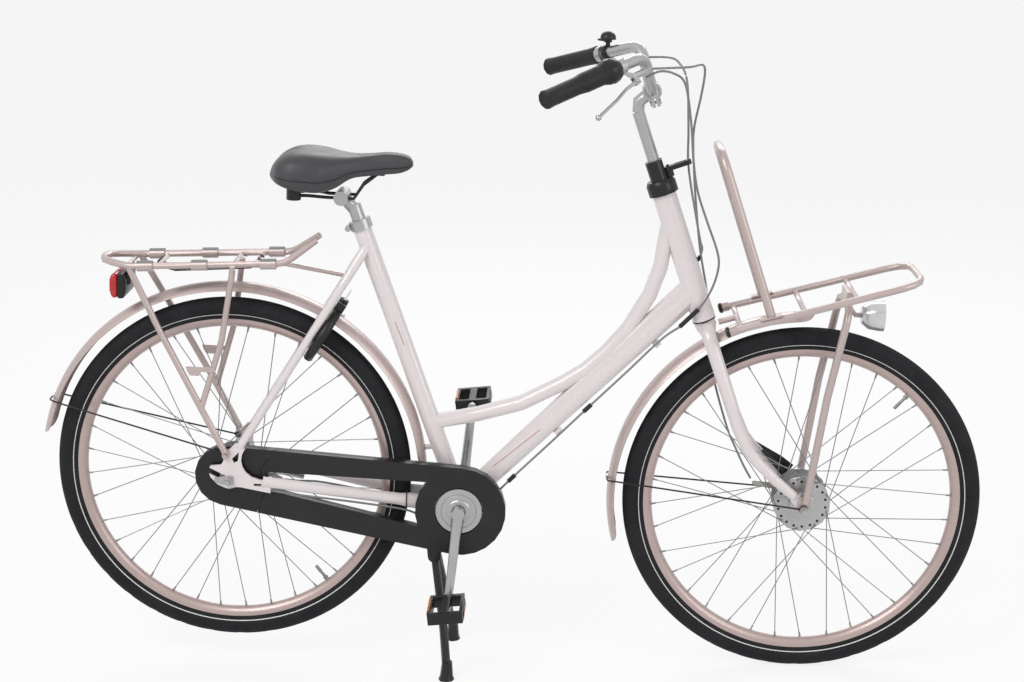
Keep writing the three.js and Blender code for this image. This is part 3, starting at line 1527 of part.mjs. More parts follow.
function rearCarrier() {
  const outer = [
    rearRailTip, rearRailFront, rearCorner, at(rearHoop.x, rearCarrierHalfWidth * 0.5, rearHoop.z),
  ];
  const line = [...outer, ...outer.map((point) => onSide(point, right)).reverse()];
  const loop = tube(bent(line, carrierTubeRadius * 6, 2), carrierTubeRadius, carrierSides);
  const crosses = carrierCrossX.map((x) => {
    const end = at(x, rearCarrierHalfWidth, rearRailHeight(x) - carrierTubeRadius / 3);
    return rod(onSide(end, right), end, carrierTubeRadius * 0.7, 5);
  });
  const struts = sides.flatMap((side) => [
    tube(rearStrutPoints.map((point) => onSide(point, side)), carrierStrutRadius, carrierSides),
    tube(frontStrutPoints.map((point) => onSide(point, side)), carrierStrutRadius, carrierSides),
  ]);
  const tab = hangerTab(eyeletAt, carrierStrutRadius, carrierStrutRadius * 2, rearTabInner);
  const lampBarEnd = at(lampBarX, rearCarrierHalfWidth * 0.9, lampBarHeight);
  const lampBar = rod(onSide(lampBarEnd, right), lampBarEnd, lampBarRadius, 6);
  const linkX = carrierCrossX[carrierCrossX.length - 1];
  const linkStart = at(linkX, 0, rearRailHeight(linkX) - carrierTubeRadius / 3);
  const reach = upperBridge.clone().sub(linkStart);
  const linkEnd = along(upperBridge, reach.normalize(), -stayBridgeRadius - gap);
  const link = rod(linkStart, linkEnd, lampBarRadius, 6);
  return fuse(loop, ...crosses, ...struts, lampBar, link, tab, mirrored(tab), ...carrierPads(), ...eyeletBolts());
}

function carrierPads() {
  return padPlaces.flatMap((x) => sides.map((side) => {
    const start = at(x - padLength / 2, side * railSpan(x), rearRailHeight(x - padLength / 2));
    const end = at(x + padLength / 2, side * railSpan(x), rearRailHeight(x + padLength / 2));
    return rod(start, end, carrierTubeRoom + padHeight, 6);
  }));
}

function railSpan(x) {
  const share = (x - rearCorner.x) / (rearRailFront.x - rearCorner.x);
  return rearCorner.y + share * (rearRailFront.y - rearCorner.y);
}

const strapHalfWidth = 20;
const strapSlotHalfWidth = 9;
const strapThickness = 1.6;
const strapDrop = 14;

// A strap under the carrier's top, split along its middle, each end bent over its cross bar.
function carrierStrap() {
  const reach = carrierTubeRadius * 0.7 + strapThickness + gap;
  const height = (x) => rearRailHeight(x) - carrierTubeRadius / 3;
  const hook = (x, way) => arc([x, height(x)], reach, 90, 90 + way * 180, 3);
  const [rearX, , frontX] = carrierCrossX;
  const line = [
    ...hook(rearX, 1),
    [rearX + strapDrop * 2, height(rearX) - strapDrop],
    [frontX - strapDrop, height(frontX) - strapDrop],
    ...hook(frontX, -1).reverse(),
  ];
  const slotStart = rearX + strapDrop * 2;
  const slot = block(frontX - rearX, 2 * strapSlotHalfWidth, strapDrop * 6, at(slotStart + (frontX - rearX) / 2, 0,
    height(rearX)));
  return cut(ribbon(line, strapThickness, -strapHalfWidth, strapHalfWidth), slot);
}

// Lamps

const tailCentre = at(-222, 0, 370);
const tailHeight = 48;
const tailHalfWidth = 43;
const tailDepth = 16;
const headlamp = at(1226, 0, 380);
const headlampRadius = 30;
const headlampLength = 42;
const lensDepth = 6;

function tailOutline(low, high) {
  const half = tailHeight / 2;
  return [
    [tailCentre.x + low, tailCentre.z - half], [tailCentre.x + high * 0.7, tailCentre.z - half],
    [tailCentre.x + high, tailCentre.z - half * 0.4], [tailCentre.x + high, tailCentre.z + half * 0.5],
    [tailCentre.x + high * 0.7, tailCentre.z + half], [tailCentre.x + low, tailCentre.z + half],
  ];
}

function tailBody() {
  const body = plate(tailOutline(0, tailDepth), -tailHalfWidth, tailHalfWidth);
  const lugTop = lampBarHeight - lampBarRadius - gap;
  const lugHeight = lugTop - tailCentre.z;
  const lug = block(tailDepth / 2, tailHeight, lugHeight, at(lampBarX, 0, lugTop - lugHeight / 2));
  return fuse(body, lug);
}

function tailLens() {
  return plate(tailOutline(-gap, -tailDepth), -tailHalfWidth, tailHalfWidth);
}

function headlampBody() {
  const back = -headlampLength / 2;
  const front = headlampLength / 2;
  const inner = headlampRadius * 0.88;
  return revolve([
    [0, back],
    [headlampRadius * 0.55, back],
    [headlampRadius * 0.9, back * 0.35],
    [headlampRadius, front - lensDepth],
    [headlampRadius, front],
    [inner, front],
    [inner, front - lensDepth],
    [0, back * 0.2],
  ], 12, headlamp, at(1, 0, 0));
}

function headlampLens() {
  const front = headlampLength / 2;
  const inner = headlampRadius * 0.88 - gap;
  return revolve([
    [0, front - lensDepth + gap],
    [inner, front - lensDepth + gap],
    [inner, front - gap],
    [inner * 0.6, front + lensDepth / 3],
    [0, front + lensDepth / 2],
  ], 12, headlamp, at(1, 0, 0));
}

// Front carrier, which turns with the fork

const frontRailRear = at(946, 95, 357);
const frontRailFront = at(frontRailRear.x + frontCarrierLength - 20, 86, 468);
const frontCrossX = [967, 1085, 1180];
const frontStrutKnee = at(1144, 66, 230);
const frontStrutTop = at(1172, 66, 408);
const frontStrutRadius = 8;
const carrierTabInner = frontDropSpan + forkTabThickness + 2 * gap;
const frontStrutFoot = at(wheelBase + 2, carrierTabInner + frontStrutRadius + gap, forkTabRadius * 1.2);
const capWall = 1.4;
const capLength = 14;

function frontRailPoint(x, side) {
  const share = (x - frontRailRear.x) / (frontRailFront.x - frontRailRear.x);
  return onSide(between(frontRailRear, frontRailFront, share), side);
}

function frontCarrier() {
  const rails = [frontRailRear, frontRailFront, onSide(frontRailFront, right), onSide(frontRailRear, right)];
  const hoop = tube(bent(rails, carrierTubeRadius * 6.5, 3), carrierTubeRadius, carrierSides);
  const crosses = frontCrossX.map((x) => rod(frontRailPoint(x, right), frontRailPoint(x, left),
    carrierTubeRadius * 0.75, 6));
  const half = [frontStrutFoot, frontStrutKnee, frontStrutTop];
  const strutLine = [...half, ...half.map((point) => onSide(point, right)).reverse()];
  const struts = tube(bent(strutLine, frontStrutRadius * 4, 2), frontStrutRadius, carrierSides);
  const tab = hangerTab(frontAxle, forkTabRadius, forkTabRadius * 2, carrierTabInner, hubBore);
  const saddlePlate = block(frontStrutRadius * 2, frontStrutTop.y, frontStrutRadius * 2.5,
    at(frontStrutTop.x + frontStrutRadius / 2, 0, frontStrutTop.z + frontStrutRadius * 1.6));
  const lampStart = at(frontStrutTop.x, 0, frontStrutTop.z);
  const lampEnd = at(headlamp.x - headlampLength / 2 - gap, 0, headlamp.z);
  const lampBend = at(lampEnd.x - frontStrutRadius * 1.5, 0, headlamp.z);
  const lampArm = sweep([lampStart, lampBend, lampEnd], [[frontStrutRadius, frontStrutRadius * 0.6]], 6);
  const crossHeight = frontRailPoint(frontCrossX[0], left).z;
  const linkEnd = bySteering(-crownHeight / 2, crownRadius + frontStrutRadius / 2);
  const link = rod(at(frontCrossX[0], 0, crossHeight), linkEnd, frontStrutRadius * 0.75, 6);
  return fuse(hoop, ...crosses, struts, tab, mirrored(tab), saddlePlate, lampArm, link, ...carrierCaps());
}

function carrierCaps() {
  return sides.map((side) => {
    const start = frontRailPoint(frontRailRear.x, side);
    const heading = frontRailPoint(frontRailFront.x, side).sub(start).normalize();
    return rod(along(start, heading, -capWall), along(start, heading, capLength), carrierTubeRoom + capWall, 6);
  });
}

const uprightFootX = 1022;
const uprightHalfWidth = 90;
const uprightTop = at(909, 77, 690);
const uprightRadius = 8.5;
const uprightBend = 45;
const uprightPlateThickness = 3;

// The upright hoop of tube that is bolted on the front carrier's rails.
function uprightHoop() {
  const lift = carrierTubeRadius + gap + uprightPlateThickness / 2;
  const footHeight = frontRailPoint(uprightFootX, left).z + lift;
  const base = at(uprightFootX, uprightHalfWidth, footHeight + uprightPlateThickness / 2);
  const line = [base, uprightTop, onSide(uprightTop, right), onSide(base, right)];
  const hoop = tube(bent(line, uprightBend, 3), uprightRadius, 8);
  const slope = frontRailFront.clone().sub(frontRailRear).setY(0).normalize();
  const turn = -Math.atan2(slope.z, slope.x);
  const feet = sides.map((side) => {
    const middle = frontRailPoint(uprightFootX, side).setZ(footHeight);
    const foot = block(uprightRadius * 5, uprightRadius * 2, uprightPlateThickness).rotateY(turn);
    return foot.translate(middle.x, middle.y - side * gap, middle.z);
  });
  const room = sides.map((side) => tube([frontRailPoint(frontRailRear.x, side), frontRailPoint(frontRailFront.x,
    side)], carrierTubeRadius + gap, carrierSides));
  return cut(fuse(hoop, ...feet), ...room);
}

// Centre stand

const standPivot = at(404, 0, -150);
const standPlateTop = -58;
const standPlateThickness = 6;
const standPlateLength = 46;
const standHalfWidth = 34.5;
const cheekThickness = 4.5;
const standTubeRadius = 13;
const standPinRadius = 6;
const standLegRadius = 8.5;
const legStart = 15;
const legKnee = at(430, 65, -290);
const footRadius = 16;
const footLift = 36;
const footX = 441;
const rearLift = 51.5;
const standTilt = Math.asin(rearLift / wheelBase);
const groundAhead = at(Math.cos(standTilt), 0, Math.sin(standTilt));

// The ground's height under a point of the bicycle.
function groundUnder(x) {
  return -((wheelBase - x) * Math.sin(standTilt) + tyreRadius - gap) / Math.cos(standTilt);
}

function standBracket() {
  const middle = standPlateTop - standPlateThickness / 2;
  const top = block(standPlateLength, 2 * standHalfWidth, standPlateThickness, at(standPivot.x - 4, 0, middle));
  const low = arc([standPivot.x, standPivot.z], standTubeRadius, 180, 360, 6);
  const outline = [
    ...low,
    [standPivot.x + standPlateLength * 0.38, middle],
    [standPivot.x - standPlateLength * 0.5, middle],
  ];
  const cheeks = sides.map((side) => {
    const edges = [side * standHalfWidth, side * (standHalfWidth - cheekThickness)].sort((a, b) => a - b);
    return plate(outline, edges[0], edges[1]);
  });
  const reach = at(0, standHalfWidth + gap, 0);
  const pin = rod(standPivot.clone().sub(reach), standPivot.clone().add(reach), standPinRadius, 10);
  return fuse(top, ...cheeks, pin);
}

function standLegs() {
  const half = standHalfWidth - cheekThickness - gap;
  const barrel = ring(standPinRadius + 2 * gap, standTubeRadius, -half, half, 12, standPivot, acrossAxis);
  const legs = sides.map((side) => {
    const foot = at(footX, footSpread, groundUnder(footX) + footLift * 0.5);
    const line = [at(standPivot.x, legStart, standPivot.z), legKnee, foot];
    return tube(bent(line, tyreRadius / 4, 2).map((point) => onSide(point, side)), standLegRadius, 6);
  });
  const reach = at(0, half * 2, 0);
  const bore = rod(standPivot.clone().sub(reach), standPivot.clone().add(reach), standPinRadius + 2 * gap, 12);
  return fuse(cut(fuse(barrel, ...legs), bore), ...standFeet());
}

// Flared plastic feet, flat on the ground when the stand is down.
function standFeet() {
  return sides.map((side) => {
    const levels = [[footLift, standLegRadius * 1.2], [footLift / 4, footRadius * 0.8], [0, footRadius]];
    return loft(levels.map(([lift, radius]) => circle(radius, 8).map((spot) => {
      const middle = at(footX, side * (footSpread - lift * 0.12), groundUnder(footX) + lift);
      return along(along(middle, groundAhead, spot.x), acrossAxis, spot.y);
    })));
  });
}

// Ring lock on the seat stays

const lockDeg = 59.4;
const lockRadius = 334;
const lockRingRadius = 58;
const lockHalfSection = 9;
const lockGapDeg = 40;
const shackleRadius = 4.5;
const shackleChannel = 7.7;
const shackleFromDeg = 40;
const shackleToDeg = 137;
const knobDeg = 47;
const knobRadius = 3;
const knobLength = 13;
const knobTurnDeg = 88;
const lockTopReach = 17;
const lockTopHalfWidth = 22;
const keyRingRadius = 9;
const keyRingHeight = 6;
const keyHeadHeight = 20;
const keyHeadWidth = 18;
const keyHeadThickness = 4;

const lockCentre = byWheel(rearAxle, lockRadius, lockDeg);
const lockOut = lockCentre.clone().normalize();
const lockAhead = at(lockOut.z, 0, -lockOut.x);

// A point of the lock: round its ring from the top, out from the ring's middle line, and ahead.
function lockPoint(turnDeg, out = 0, ahead = 0) {
  const reach = lockRingRadius + out;
  const point = along(lockCentre, lockOut, reach * Math.cos(turnDeg * degree));
  return along(along(point, acrossAxis, reach * Math.sin(turnDeg * degree)), lockAhead, ahead);
}

function lockBow(fromDeg, toDeg, steps, section) {
  return loft(arc([0, 0], 1, 0, 1, steps).map((_, i) => (
    section.map(([out, ahead]) => lockPoint(fromDeg + ((toDeg - fromDeg) * i) / steps, out, ahead))
  )));
}

function lockBody() {
  const half = lockHalfSection;
  const cornered = half * 0.5;
  const section = [
    [-half, -half], [cornered, -half], [half, -cornered], [half, cornered], [cornered, half], [-half, half],
  ];
  const end = 180 - lockGapDeg;
  const bow = lockBow(-end, end, 10, section);
  const top = block(lockTopReach, 2 * lockTopHalfWidth, 2 * half);
  const turn = new THREE.Matrix4().makeBasis(lockOut, acrossAxis, lockAhead.clone().negate());
  const topMiddle = along(lockPoint(0, half), lockOut, 0);
  top.applyMatrix4(turn.setPosition(topMiddle));
  const channel = lockBow(-end - overrun, end + overrun, 16, arc([0, 0], shackleChannel, 45, 315, 3));
  const room = knobRadius + runningGap;
  const slot = lockBow(knobDeg - overrun, knobDeg + knobTurnDeg + overrun, 6,
    [[-room, 0], [room, 0], [room, 2 * half], [-room, 2 * half]]);
  const pads = sides.map((side) => rod(lockPoint(side * 90, 0, gap - half),
    lockPoint(side * 90, 0, -half - 5 * gap), half * 0.7, 6));
  return fuse(cut(fuse(bow, plain(top)), channel, slot), ...pads, lockKeyRing());
}

function lockShackle() {
  const bow = lockBow(shackleFromDeg, shackleToDeg, 8, arc([0, 0], shackleRadius, 0, 300, 5));
  const knob = rod(lockPoint(knobDeg), lockPoint(knobDeg, 0, knobLength), knobRadius, 8);
  const head = rod(lockPoint(knobDeg, 0, knobLength - gap), lockPoint(knobDeg, 0, knobLength + knobRadius * 2),
    knobRadius * 2, 10);
  return fuse(bow, knob, head);
}

function lockKeyRing() {
  const start = along(lockPoint(0, lockHalfSection), lockOut, lockTopReach / 2 - gap);
  return ring(keyHeadThickness, keyRingRadius, 0, keyRingHeight, 10, start, lockOut);
}

function lockKey() {
  const start = along(lockPoint(0, lockHalfSection), lockOut, lockTopReach / 2 + 2 * gap);
  const blade = along(start, lockOut, keyRingHeight + gap);
  const head = block(keyHeadHeight, keyHeadWidth, keyHeadThickness);
  const turn = new THREE.Matrix4().makeBasis(lockOut, acrossAxis, lockAhead.clone().negate());
  head.applyMatrix4(turn.setPosition(along(blade, lockOut, keyHeadHeight / 2)));
  return fuse(plain(head), rod(start, along(blade, lockOut, gap), keyHeadThickness * 0.7, 6));
}

// Seat post, clamp and saddle

const seatCollarWall = 4;
const seatCollarHeight = 18;
const seatBoltRadius = 3;
const postInsertion = 150;
const postTop = along(bracket, seatUp, seatTubeLength + 30);
const clampCentre = at(postTop.x - postSetback, 0, postTop.z + 16);
const clampRadius = 14;
const clampHalfWidth = 30;
const railRadius = 3.5;
const railSpread = 22;

function seatClamp() {
  const base = seatTubeLength - seatCollarHeight;
  const band = ring(seatTubeRadius + gap, seatTubeRadius + seatCollarWall, base, seatTubeLength, tubeSides, bracket, seatUp);
  const boltLine = bySeatTube(base + seatCollarHeight / 2, -seatTubeRadius - seatCollarWall - seatBoltRadius);
  const half = at(0, seatTubeRadius * 0.6, 0);
  const barrel = rod(boltLine.clone().sub(half), boltLine.clone().add(half), seatBoltRadius * 2, 8);
  const bore = rod(along(bracket, seatUp, base - overrun), along(bracket, seatUp, seatTubeLength + overrun),
    seatTubeRadius + gap, tubeSides);
  return cut(fuse(band, barrel), bore);
}

function seatPost() {
  const foot = along(bracket, seatUp, seatTubeLength - postInsertion);
  const body = rod(foot, postTop, postRadius, 12);
  const neck = sweep([along(postTop, seatUp, -postRadius), clampCentre], [[postRadius * 0.9, postRadius * 0.9]], 8);
  const half = at(0, clampHalfWidth, 0);
  const cradle = rod(clampCentre.clone().sub(half), clampCentre.clone().add(half), clampRadius, 12);
  return cut(fuse(body, neck, cradle), ...railRoom());
}

function railRoom() {
  return sides.map((side) => {
    const middle = onSide(clampCentre.clone().add(at(0, railSpread, 0)), side);
    const reach = at(clampRadius * 3, 0, 0);
    return rod(middle.clone().sub(reach), middle.clone().add(reach), railRadius + 3 * gap, 6);
  });
}

const saddleRear = clampCentre.x - saddleLength * 0.506;
const saddleUnder = 9;

// Shares of the length and half width, then top and underside above the clamp.
const saddleShape = [
  [0, 0.3, 43, 37], [0.02, 0.5, 58, 32], [0.07, 0.82, 74, 27], [0.15, 0.98, 85, 21],
  [0.25, 1, 89, 17], [0.37, 0.93, 87, 16], [0.47, 0.72, 83, 23], [0.58, 0.47, 81, 40],
  [0.7, 0.33, 83.5, 45], [0.82, 0.28, 87.5, 49], [0.91, 0.25, 86.5, 52], [0.97, 0.2, 82, 58],
  [1, 0.1, 72, 64],
];
const saddleStations = saddleShape.map(([share, wide, top, low]) => (
  [share, wide, clampCentre.z + top, clampCentre.z + low]
));
const saddleDip = 0.035;

// The saddle's section at a station: a crown with a shallow middle, a rounded side drawn in below.
function saddleSection([share, wide, top, low], inset = 0) {
  const x = saddleRear + inset / 2 + share * (saddleLength - inset);
  const half = Math.max((saddleWidth / 2) * wide - inset, saddleUnder / 3);
  const height = top - low;
  const crown = [[0, 1 - saddleDip], [0.3, 1], [0.6, 0.97], [0.84, 0.85], [0.96, 0.64], [1, 0.42], [0.97, 0.2],
    [0.9, 0.04], [0.83, 0]];
  const side = crown.map(([out, rise]) => at(x, out * half, low + rise * height - inset));
  const rest = side.slice(1).map((point) => onSide(point, right)).reverse();
  return { outer: [...side, ...rest.slice(0, crown.length - 1)], x, half, low, height };
}

function saddleCover() {
  const rings = saddleStations.map((station) => saddleSection(station).outer);
  return cut(loft(rings), saddleHollow());
}

// The room under the cover that the base and the rails sit in.
function saddleHollow() {
  const inner = saddleStations.slice(1, -1).map(([share, wide, top, low]) => {
    const half = Math.max((saddleWidth / 2) * wide * 0.83 - saddleUnder / 2, saddleUnder * 0.6);
    const x = saddleRear + share * saddleLength;
    const roof = Math.min(top - 2.4 * saddleUnder, low + saddleUnder * 1.5);
    return [at(x, half, roof), at(x, half, low - 3 * saddleUnder), at(x, -half, low - 3 * saddleUnder),
      at(x, -half, roof)];
  });
  return loft(inner);
}

function saddleBase() {
  const plateOf = (rise, drop) => saddleStations.slice(2, -2).map(([share, wide, top, low]) => {
    const half = Math.max((saddleWidth / 2) * wide * 0.83 - saddleUnder, saddleUnder * 0.4);
    const x = saddleRear + share * saddleLength;
    const roof = Math.min(top - 2.4 * saddleUnder, low + saddleUnder * 1.5) - 2 * gap;
    return [at(x, half, roof - rise), at(x, half, roof - drop), at(x, -half, roof - drop), at(x, -half, roof - rise)];
  });
  const springs = sides.map((side) => {
    const roof = saddleStations[4][3] + saddleUnder * 1.5;
    const top = onSide(at(elastomerX, elastomerSpread, roof - 2 * gap - 1), side);
    const foot = onSide(at(elastomerX, elastomerSpread, elastomerFoot), side);
    return rod(foot, top, elastomerRadius, 10);
  });
  const noseSocket = block(saddleUnder * 2, 2 * railSpread * 0.5, saddleUnder * 1.4,
    at(railLine[0].x + saddleUnder * 0.5, 0, railLine[0].z + saddleUnder * 0.4));
  return fuse(loft(plateOf(0, 3)), ...springs, noseSocket, ...railTubes(railRadius));
}

function alongSaddle(share, across, lift) {
  return at(saddleRear + share * saddleLength, across, clampCentre.z + lift);
}

const elastomerX = alongSaddle(0.18, 0, 0).x;
const elastomerSpread = 40;
const elastomerRadius = 14;
const elastomerFoot = clampCentre.z - railRadius - gap;
const railLine = [
  alongSaddle(0.754, 8, 47), alongSaddle(0.657, 15, 26), at(clampCentre.x + 24, railSpread, clampCentre.z),
  at(clampCentre.x - 28, railSpread, clampCentre.z), alongSaddle(0.276, 30, 3),
  alongSaddle(0.18, elastomerSpread, 4),
];

function railTubes(radius) {
  return sides.map((side) => tube(railLine.map((point) => onSide(point, side)), radius, 6));
}

// Hub brakes

const frontBrakeRadius = 45;
const frontBrakeInner = 30.6;
const frontBrakeFace = 39;
const rearBrakeInner = 30.8;
const rearBrakeOuter = 57;
const spacerRadius = 9;
const brakeArmLength = 54;
const brakeArmPivot = at(wheelBase - 34, 41.4, 9);
const brakeArmThickness = 3;
const brakeArmEnd = at(brakeArmPivot.x - brakeArmLength, 41.4, 15);
const brakePinRadius = 3;
const rearArmPivot = at(38, rearBrakeOuter + gap, -16);
const rearArmEnd = at(84, rearArmPivot.y, -38);

function frontBrake() {
  const plateBody = revolve([
    [0, frontBrakeInner],
    [frontBrakeRadius, frontBrakeInner],
    [frontBrakeRadius, frontBrakeInner + 4 * gap],
    [spacerRadius * 3, frontBrakeFace],
    [spacerRadius, frontBrakeFace],
    [spacerRadius, frontDropSpan],
    [0, frontDropSpan],
  ], 12, frontAxle);
  const armStart = at(wheelBase - spacerRadius, frontBrakeInner + spacerRadius * 0.6, spacerRadius * 2);
  const armEnd = at(1043, 38, 86);
  const arm = sweep([armStart, armEnd], [[2, spacerRadius], [2, spacerRadius / 2]], 6);
  const pin = rod(brakeArmPivot.clone().setY(frontBrakeInner + spacerRadius / 2),
    brakeArmPivot.clone().setY(brakeArmPivot.y + brakeArmThickness + gap), brakePinRadius, 8);
  return fuse(plateBody, arm, pin, axle(frontAxle, frontNutSeat));
}

// A flat brake arm between its pivot and the end that the cable pulls.
function brakeArm(pivot, end) {
  const run = [end.x - pivot.x, end.z - pivot.z];
  const angleDeg = Math.atan2(run[1], run[0]) / degree;
  const outline = [
    ...arc([pivot.x, pivot.z], brakePinRadius * 2.4, angleDeg + 90, angleDeg + 270, 6),
    ...arc([end.x, end.z], brakePinRadius * 1.5, angleDeg - 90, angleDeg + 90, 4),
  ];
  const eye = arc([pivot.x, pivot.z], brakePinRadius + 2 * gap, 0, 300, 5);
  return plate(outline, pivot.y, pivot.y + brakeArmThickness, [eye]);
}

function rearBrake() {
  const body = revolve([
    [0, rearBrakeInner],
    [rearFlange.holeRadius * 0.8, rearBrakeInner],
    [rearFlange.holeRadius * 0.95, rearBrakeInner + gap * 9],
    [rearFlange.holeRadius * 0.95, rearBrakeOuter - spacerRadius],
    [rearFlange.holeRadius * 0.75, rearBrakeOuter],
    [spacerRadius, rearBrakeOuter],
    [spacerRadius, stayDropSpan],
    [0, stayDropSpan],
  ], 12, rearAxle);
  const armMiddle = rearBrakeOuter - spacerRadius * 1.2;
  const arm = sweep([at(spacerRadius, armMiddle, 0), at(132, armMiddle - 4, -24)],
    [[2, spacerRadius * 1.6], [2, spacerRadius * 0.7]], 6);
  const pin = rod(rearArmPivot.clone().setY(armMiddle), rearArmPivot.clone().setY(rearArmPivot.y +
    brakeArmThickness + gap), brakePinRadius, 8);
  return fuse(body, arm, pin, axle(rearAxle, nutSeatRear), ...tensioners(), shiftJoint());
}

// Chain tensioners and the gear hub's shift joint beside the right dropout

const tensionerThickness = 2;
const nutSeatRear = rearHubWidth / 2 + gap + dropoutThickness + gap + tensionerThickness;
const shiftInner = caseOuter + 4 * gap;
const shiftOuter = stayDropSpan - 2 * gap;
const shiftRadius = 20;

function tensioners() {
  const low = stayDropSpan + dropoutThickness + 2 * gap;
  const outline = [[-spacerRadius, -spacerRadius], [spacerRadius, -spacerRadius], [spacerRadius, spacerRadius],
    [-spacerRadius, spacerRadius], [-spacerRadius * 3, spacerRadius / 2], [-spacerRadius * 3, -spacerRadius / 2]];
  const half = plate(outline, low, low + tensionerThickness);
  return [half, mirrored(half)];
}

function shiftJoint() {
  return rod(at(0, -shiftOuter, 0), at(0, -shiftInner, 0), shiftRadius, 10);
}

// Bolts through the eyelets of the dropouts that hold the mudguard stay and the carrier

const rearStaySpan = 63.3;
const frontStaySpan = carrierTabInner + tabThickness + 2 * stayWireRadius;
const frontEyeEdges = [carrierTabInner + tabThickness + gap, frontStaySpan + stayWireRadius];
const rearEyeEdges = [rearStaySpan - stayWireRadius, stayDropSpan];
const frontNutSeat = frontStaySpan + stayWireRadius + gap;

function eyeletBolts() {
  const outer = rearTabInner + tabThickness + gap;
  return sides.map((side) => {
    const inner = rearStaySpan - stayWireRadius - 3 * gap;
    const point = (y) => at(eyeletAt.x, side * y, eyeletAt.z);
    const head = rod(point(outer - 2 * gap), point(outer + eyeletRadius), eyeletRadius * 2, 6);
    return fuse(rod(point(inner), point(outer), eyeletRadius - 2 * gap, 6), head);
  });
}

// Cables, their guides and the tie

const cableRadius = 2.2;
const cableSides = 5;
const gearSteps = 46;
const cableLead = 14;

function cable(points, steps, radius = cableRadius) {
  const curve = new THREE.CatmullRomCurve3(points.map(([x, y, z]) => at(x, y, z)), false, 'centripetal');
  return tube(curve.getSpacedPoints(steps), radius, cableSides);
}

function barrelEnd(side) {
  return [3 * gap, cableLead].map((reach) => (
    leverPoint(side, -bracketLength - barrelLength - reach, bracketReach).toArray()));
}

const frontBrakeRoute = [
  [835, -120, 850], [858, -100, 853], [866, -80, 838], [864, -56, 792], [858, -20, 729], [862, 25, 684],
  [868, 52, 640], [872, 62, 580], [878, 66, 480], [892, 66, 380], [920, 64, 262], [944, 64, 200], [972, 58, 120],
  [990, 48, 84], [1008, 43, 50], [1024, 43, 24],
];
const rearBrakeRoute = [
  [806, 60, 846], [826, 42, 838], [842, 26, 806], [850, 18, 720], [853, 16, 664], [861, 11, 616],
  [874, 4, 560], [886, 0, 510], [891, 0, 494], [888, 0, 478],
];
const gearRoute = [
  [758, -112, 826], [782, -108, 838], [809, -94, 834], [833, -66, 812], [850, -42, 740], [860, -36, 667],
  [872, -33, 610], [893, -31, 555], [916, -31, 500], [922, -31, 468], [914, -31, 428], [896, -29, 390],
  [868, -22, 352], [826, -14, 316], [760, -12, 243], [691, -12, 168.5], [620, -12, 91], [548, -13, 14],
  [520, -14, -18], [486, -16, -58], [450, -18, -70], [424, -20, -69], [400, -22, -68.5], [374, -24, -67],
  [344, -27, -57], [300, -34, -49],
  [220, -45, -38], [150, -55, -29], [100, -61.6, -22], [60, -62.6, -16], [22, -62.6, -12],
];
const lowerBrakeRoute = [
  [452, 14, -67.8], [424, 20, -68], [400, 22, -68.5], [374, 24, -67], [344, 27, -57], [300, 32, -50],
  [220, 41, -40], [160, 48, -35], [120, 55, -38], [90, 58.8, -38],
];

function frontBrakeCable() {
  return cable([...barrelEnd(right), ...frontBrakeRoute], 40);
}

function rearBrakeCable() {
  return cable([...barrelEnd(left), ...rearBrakeRoute], 22);
}

function gearCable() {
  return cable(gearRoute, gearSteps);
}

function lowerBrakeCable() {
  return cable(lowerBrakeRoute, 14);
}


// The whole bicycle, on its stand

add('frame', frame(), 'framePaint');
add('seat_clamp', seatClamp(), 'brightSteel');
add('fork', fork(), 'framePaint');
add('headset_lower', headsetLower(), 'blackSteel');
add('stem_collar', stemCollar(), 'blackPlastic');
add('stem_lever', stemLever(), 'blackPlastic');
add('stem', stem(), 'aluminium');
add('handlebar', handlebar(), 'aluminium');
add('grip_left', grip(left, leftGripLength), 'blackRubber');
add('grip_right', grip(right, rightGripLength), 'blackRubber');
add('twist_grip', twistGrip(), 'blackRubber');
add('shifter_housing', shifterHousing(), 'blackPlastic');
add('brake_bracket_left', brakeBracket(left), 'aluminium');
add('brake_bracket_right', brakeBracket(right), 'aluminium');
add('brake_lever_left', brakeBlade(left), 'aluminium');
add('brake_lever_right', brakeBlade(right), 'aluminium');
add('bell', bell(), 'blackSteel');
add('bell_lever', bellLever(), 'blackPlastic');
add('front_brake_cable', frontBrakeCable(), 'cableGrey');
add('rear_brake_cable', rearBrakeCable(), 'cableGrey');
add('lower_brake_cable', lowerBrakeCable(), 'cableGrey');
add('gear_cable', gearCable(), 'cableGrey');

add('front_tyre', tyre(frontAxle), 'blackRubber');
add('front_rim', rim(frontAxle, frontFlange, frontValveDeg), 'rosePaint');
add('front_hub', frontHub(), 'brightSteel');
add('front_brake', frontBrake(), 'aluminium');
add('front_brake_arm', brakeArm(brakeArmPivot, brakeArmEnd), 'blackSteel');
add('rear_tyre', tyre(rearAxle), 'blackRubber');
add('rear_rim', rim(rearAxle, rearFlange, rearValveDeg), 'rosePaint');
add('rear_hub', rearHub(), 'brightSteel');
add('rear_brake', rearBrake(), 'aluminium');
add('rear_brake_arm', brakeArm(rearArmPivot, rearArmEnd), 'blackSteel');

add('sprocket', sprocket(), 'brightSteel');
add('chain', chain(), 'chainSteel');
add('chainring', chainring(), 'brightSteel');
add('crank_right', crank(right), 'aluminium');
add('crank_left', crank(left), 'aluminium');
add('bottom_bracket', bottomBracket(), 'blackSteel');
add('pedal_right', pedal(right), 'blackPlastic');
add('pedal_left', pedal(left), 'blackPlastic');
add('chaincase', chaincase(), 'blackPlastic');
add('chaincase_cap', chaincaseCap(), 'blackPlastic');

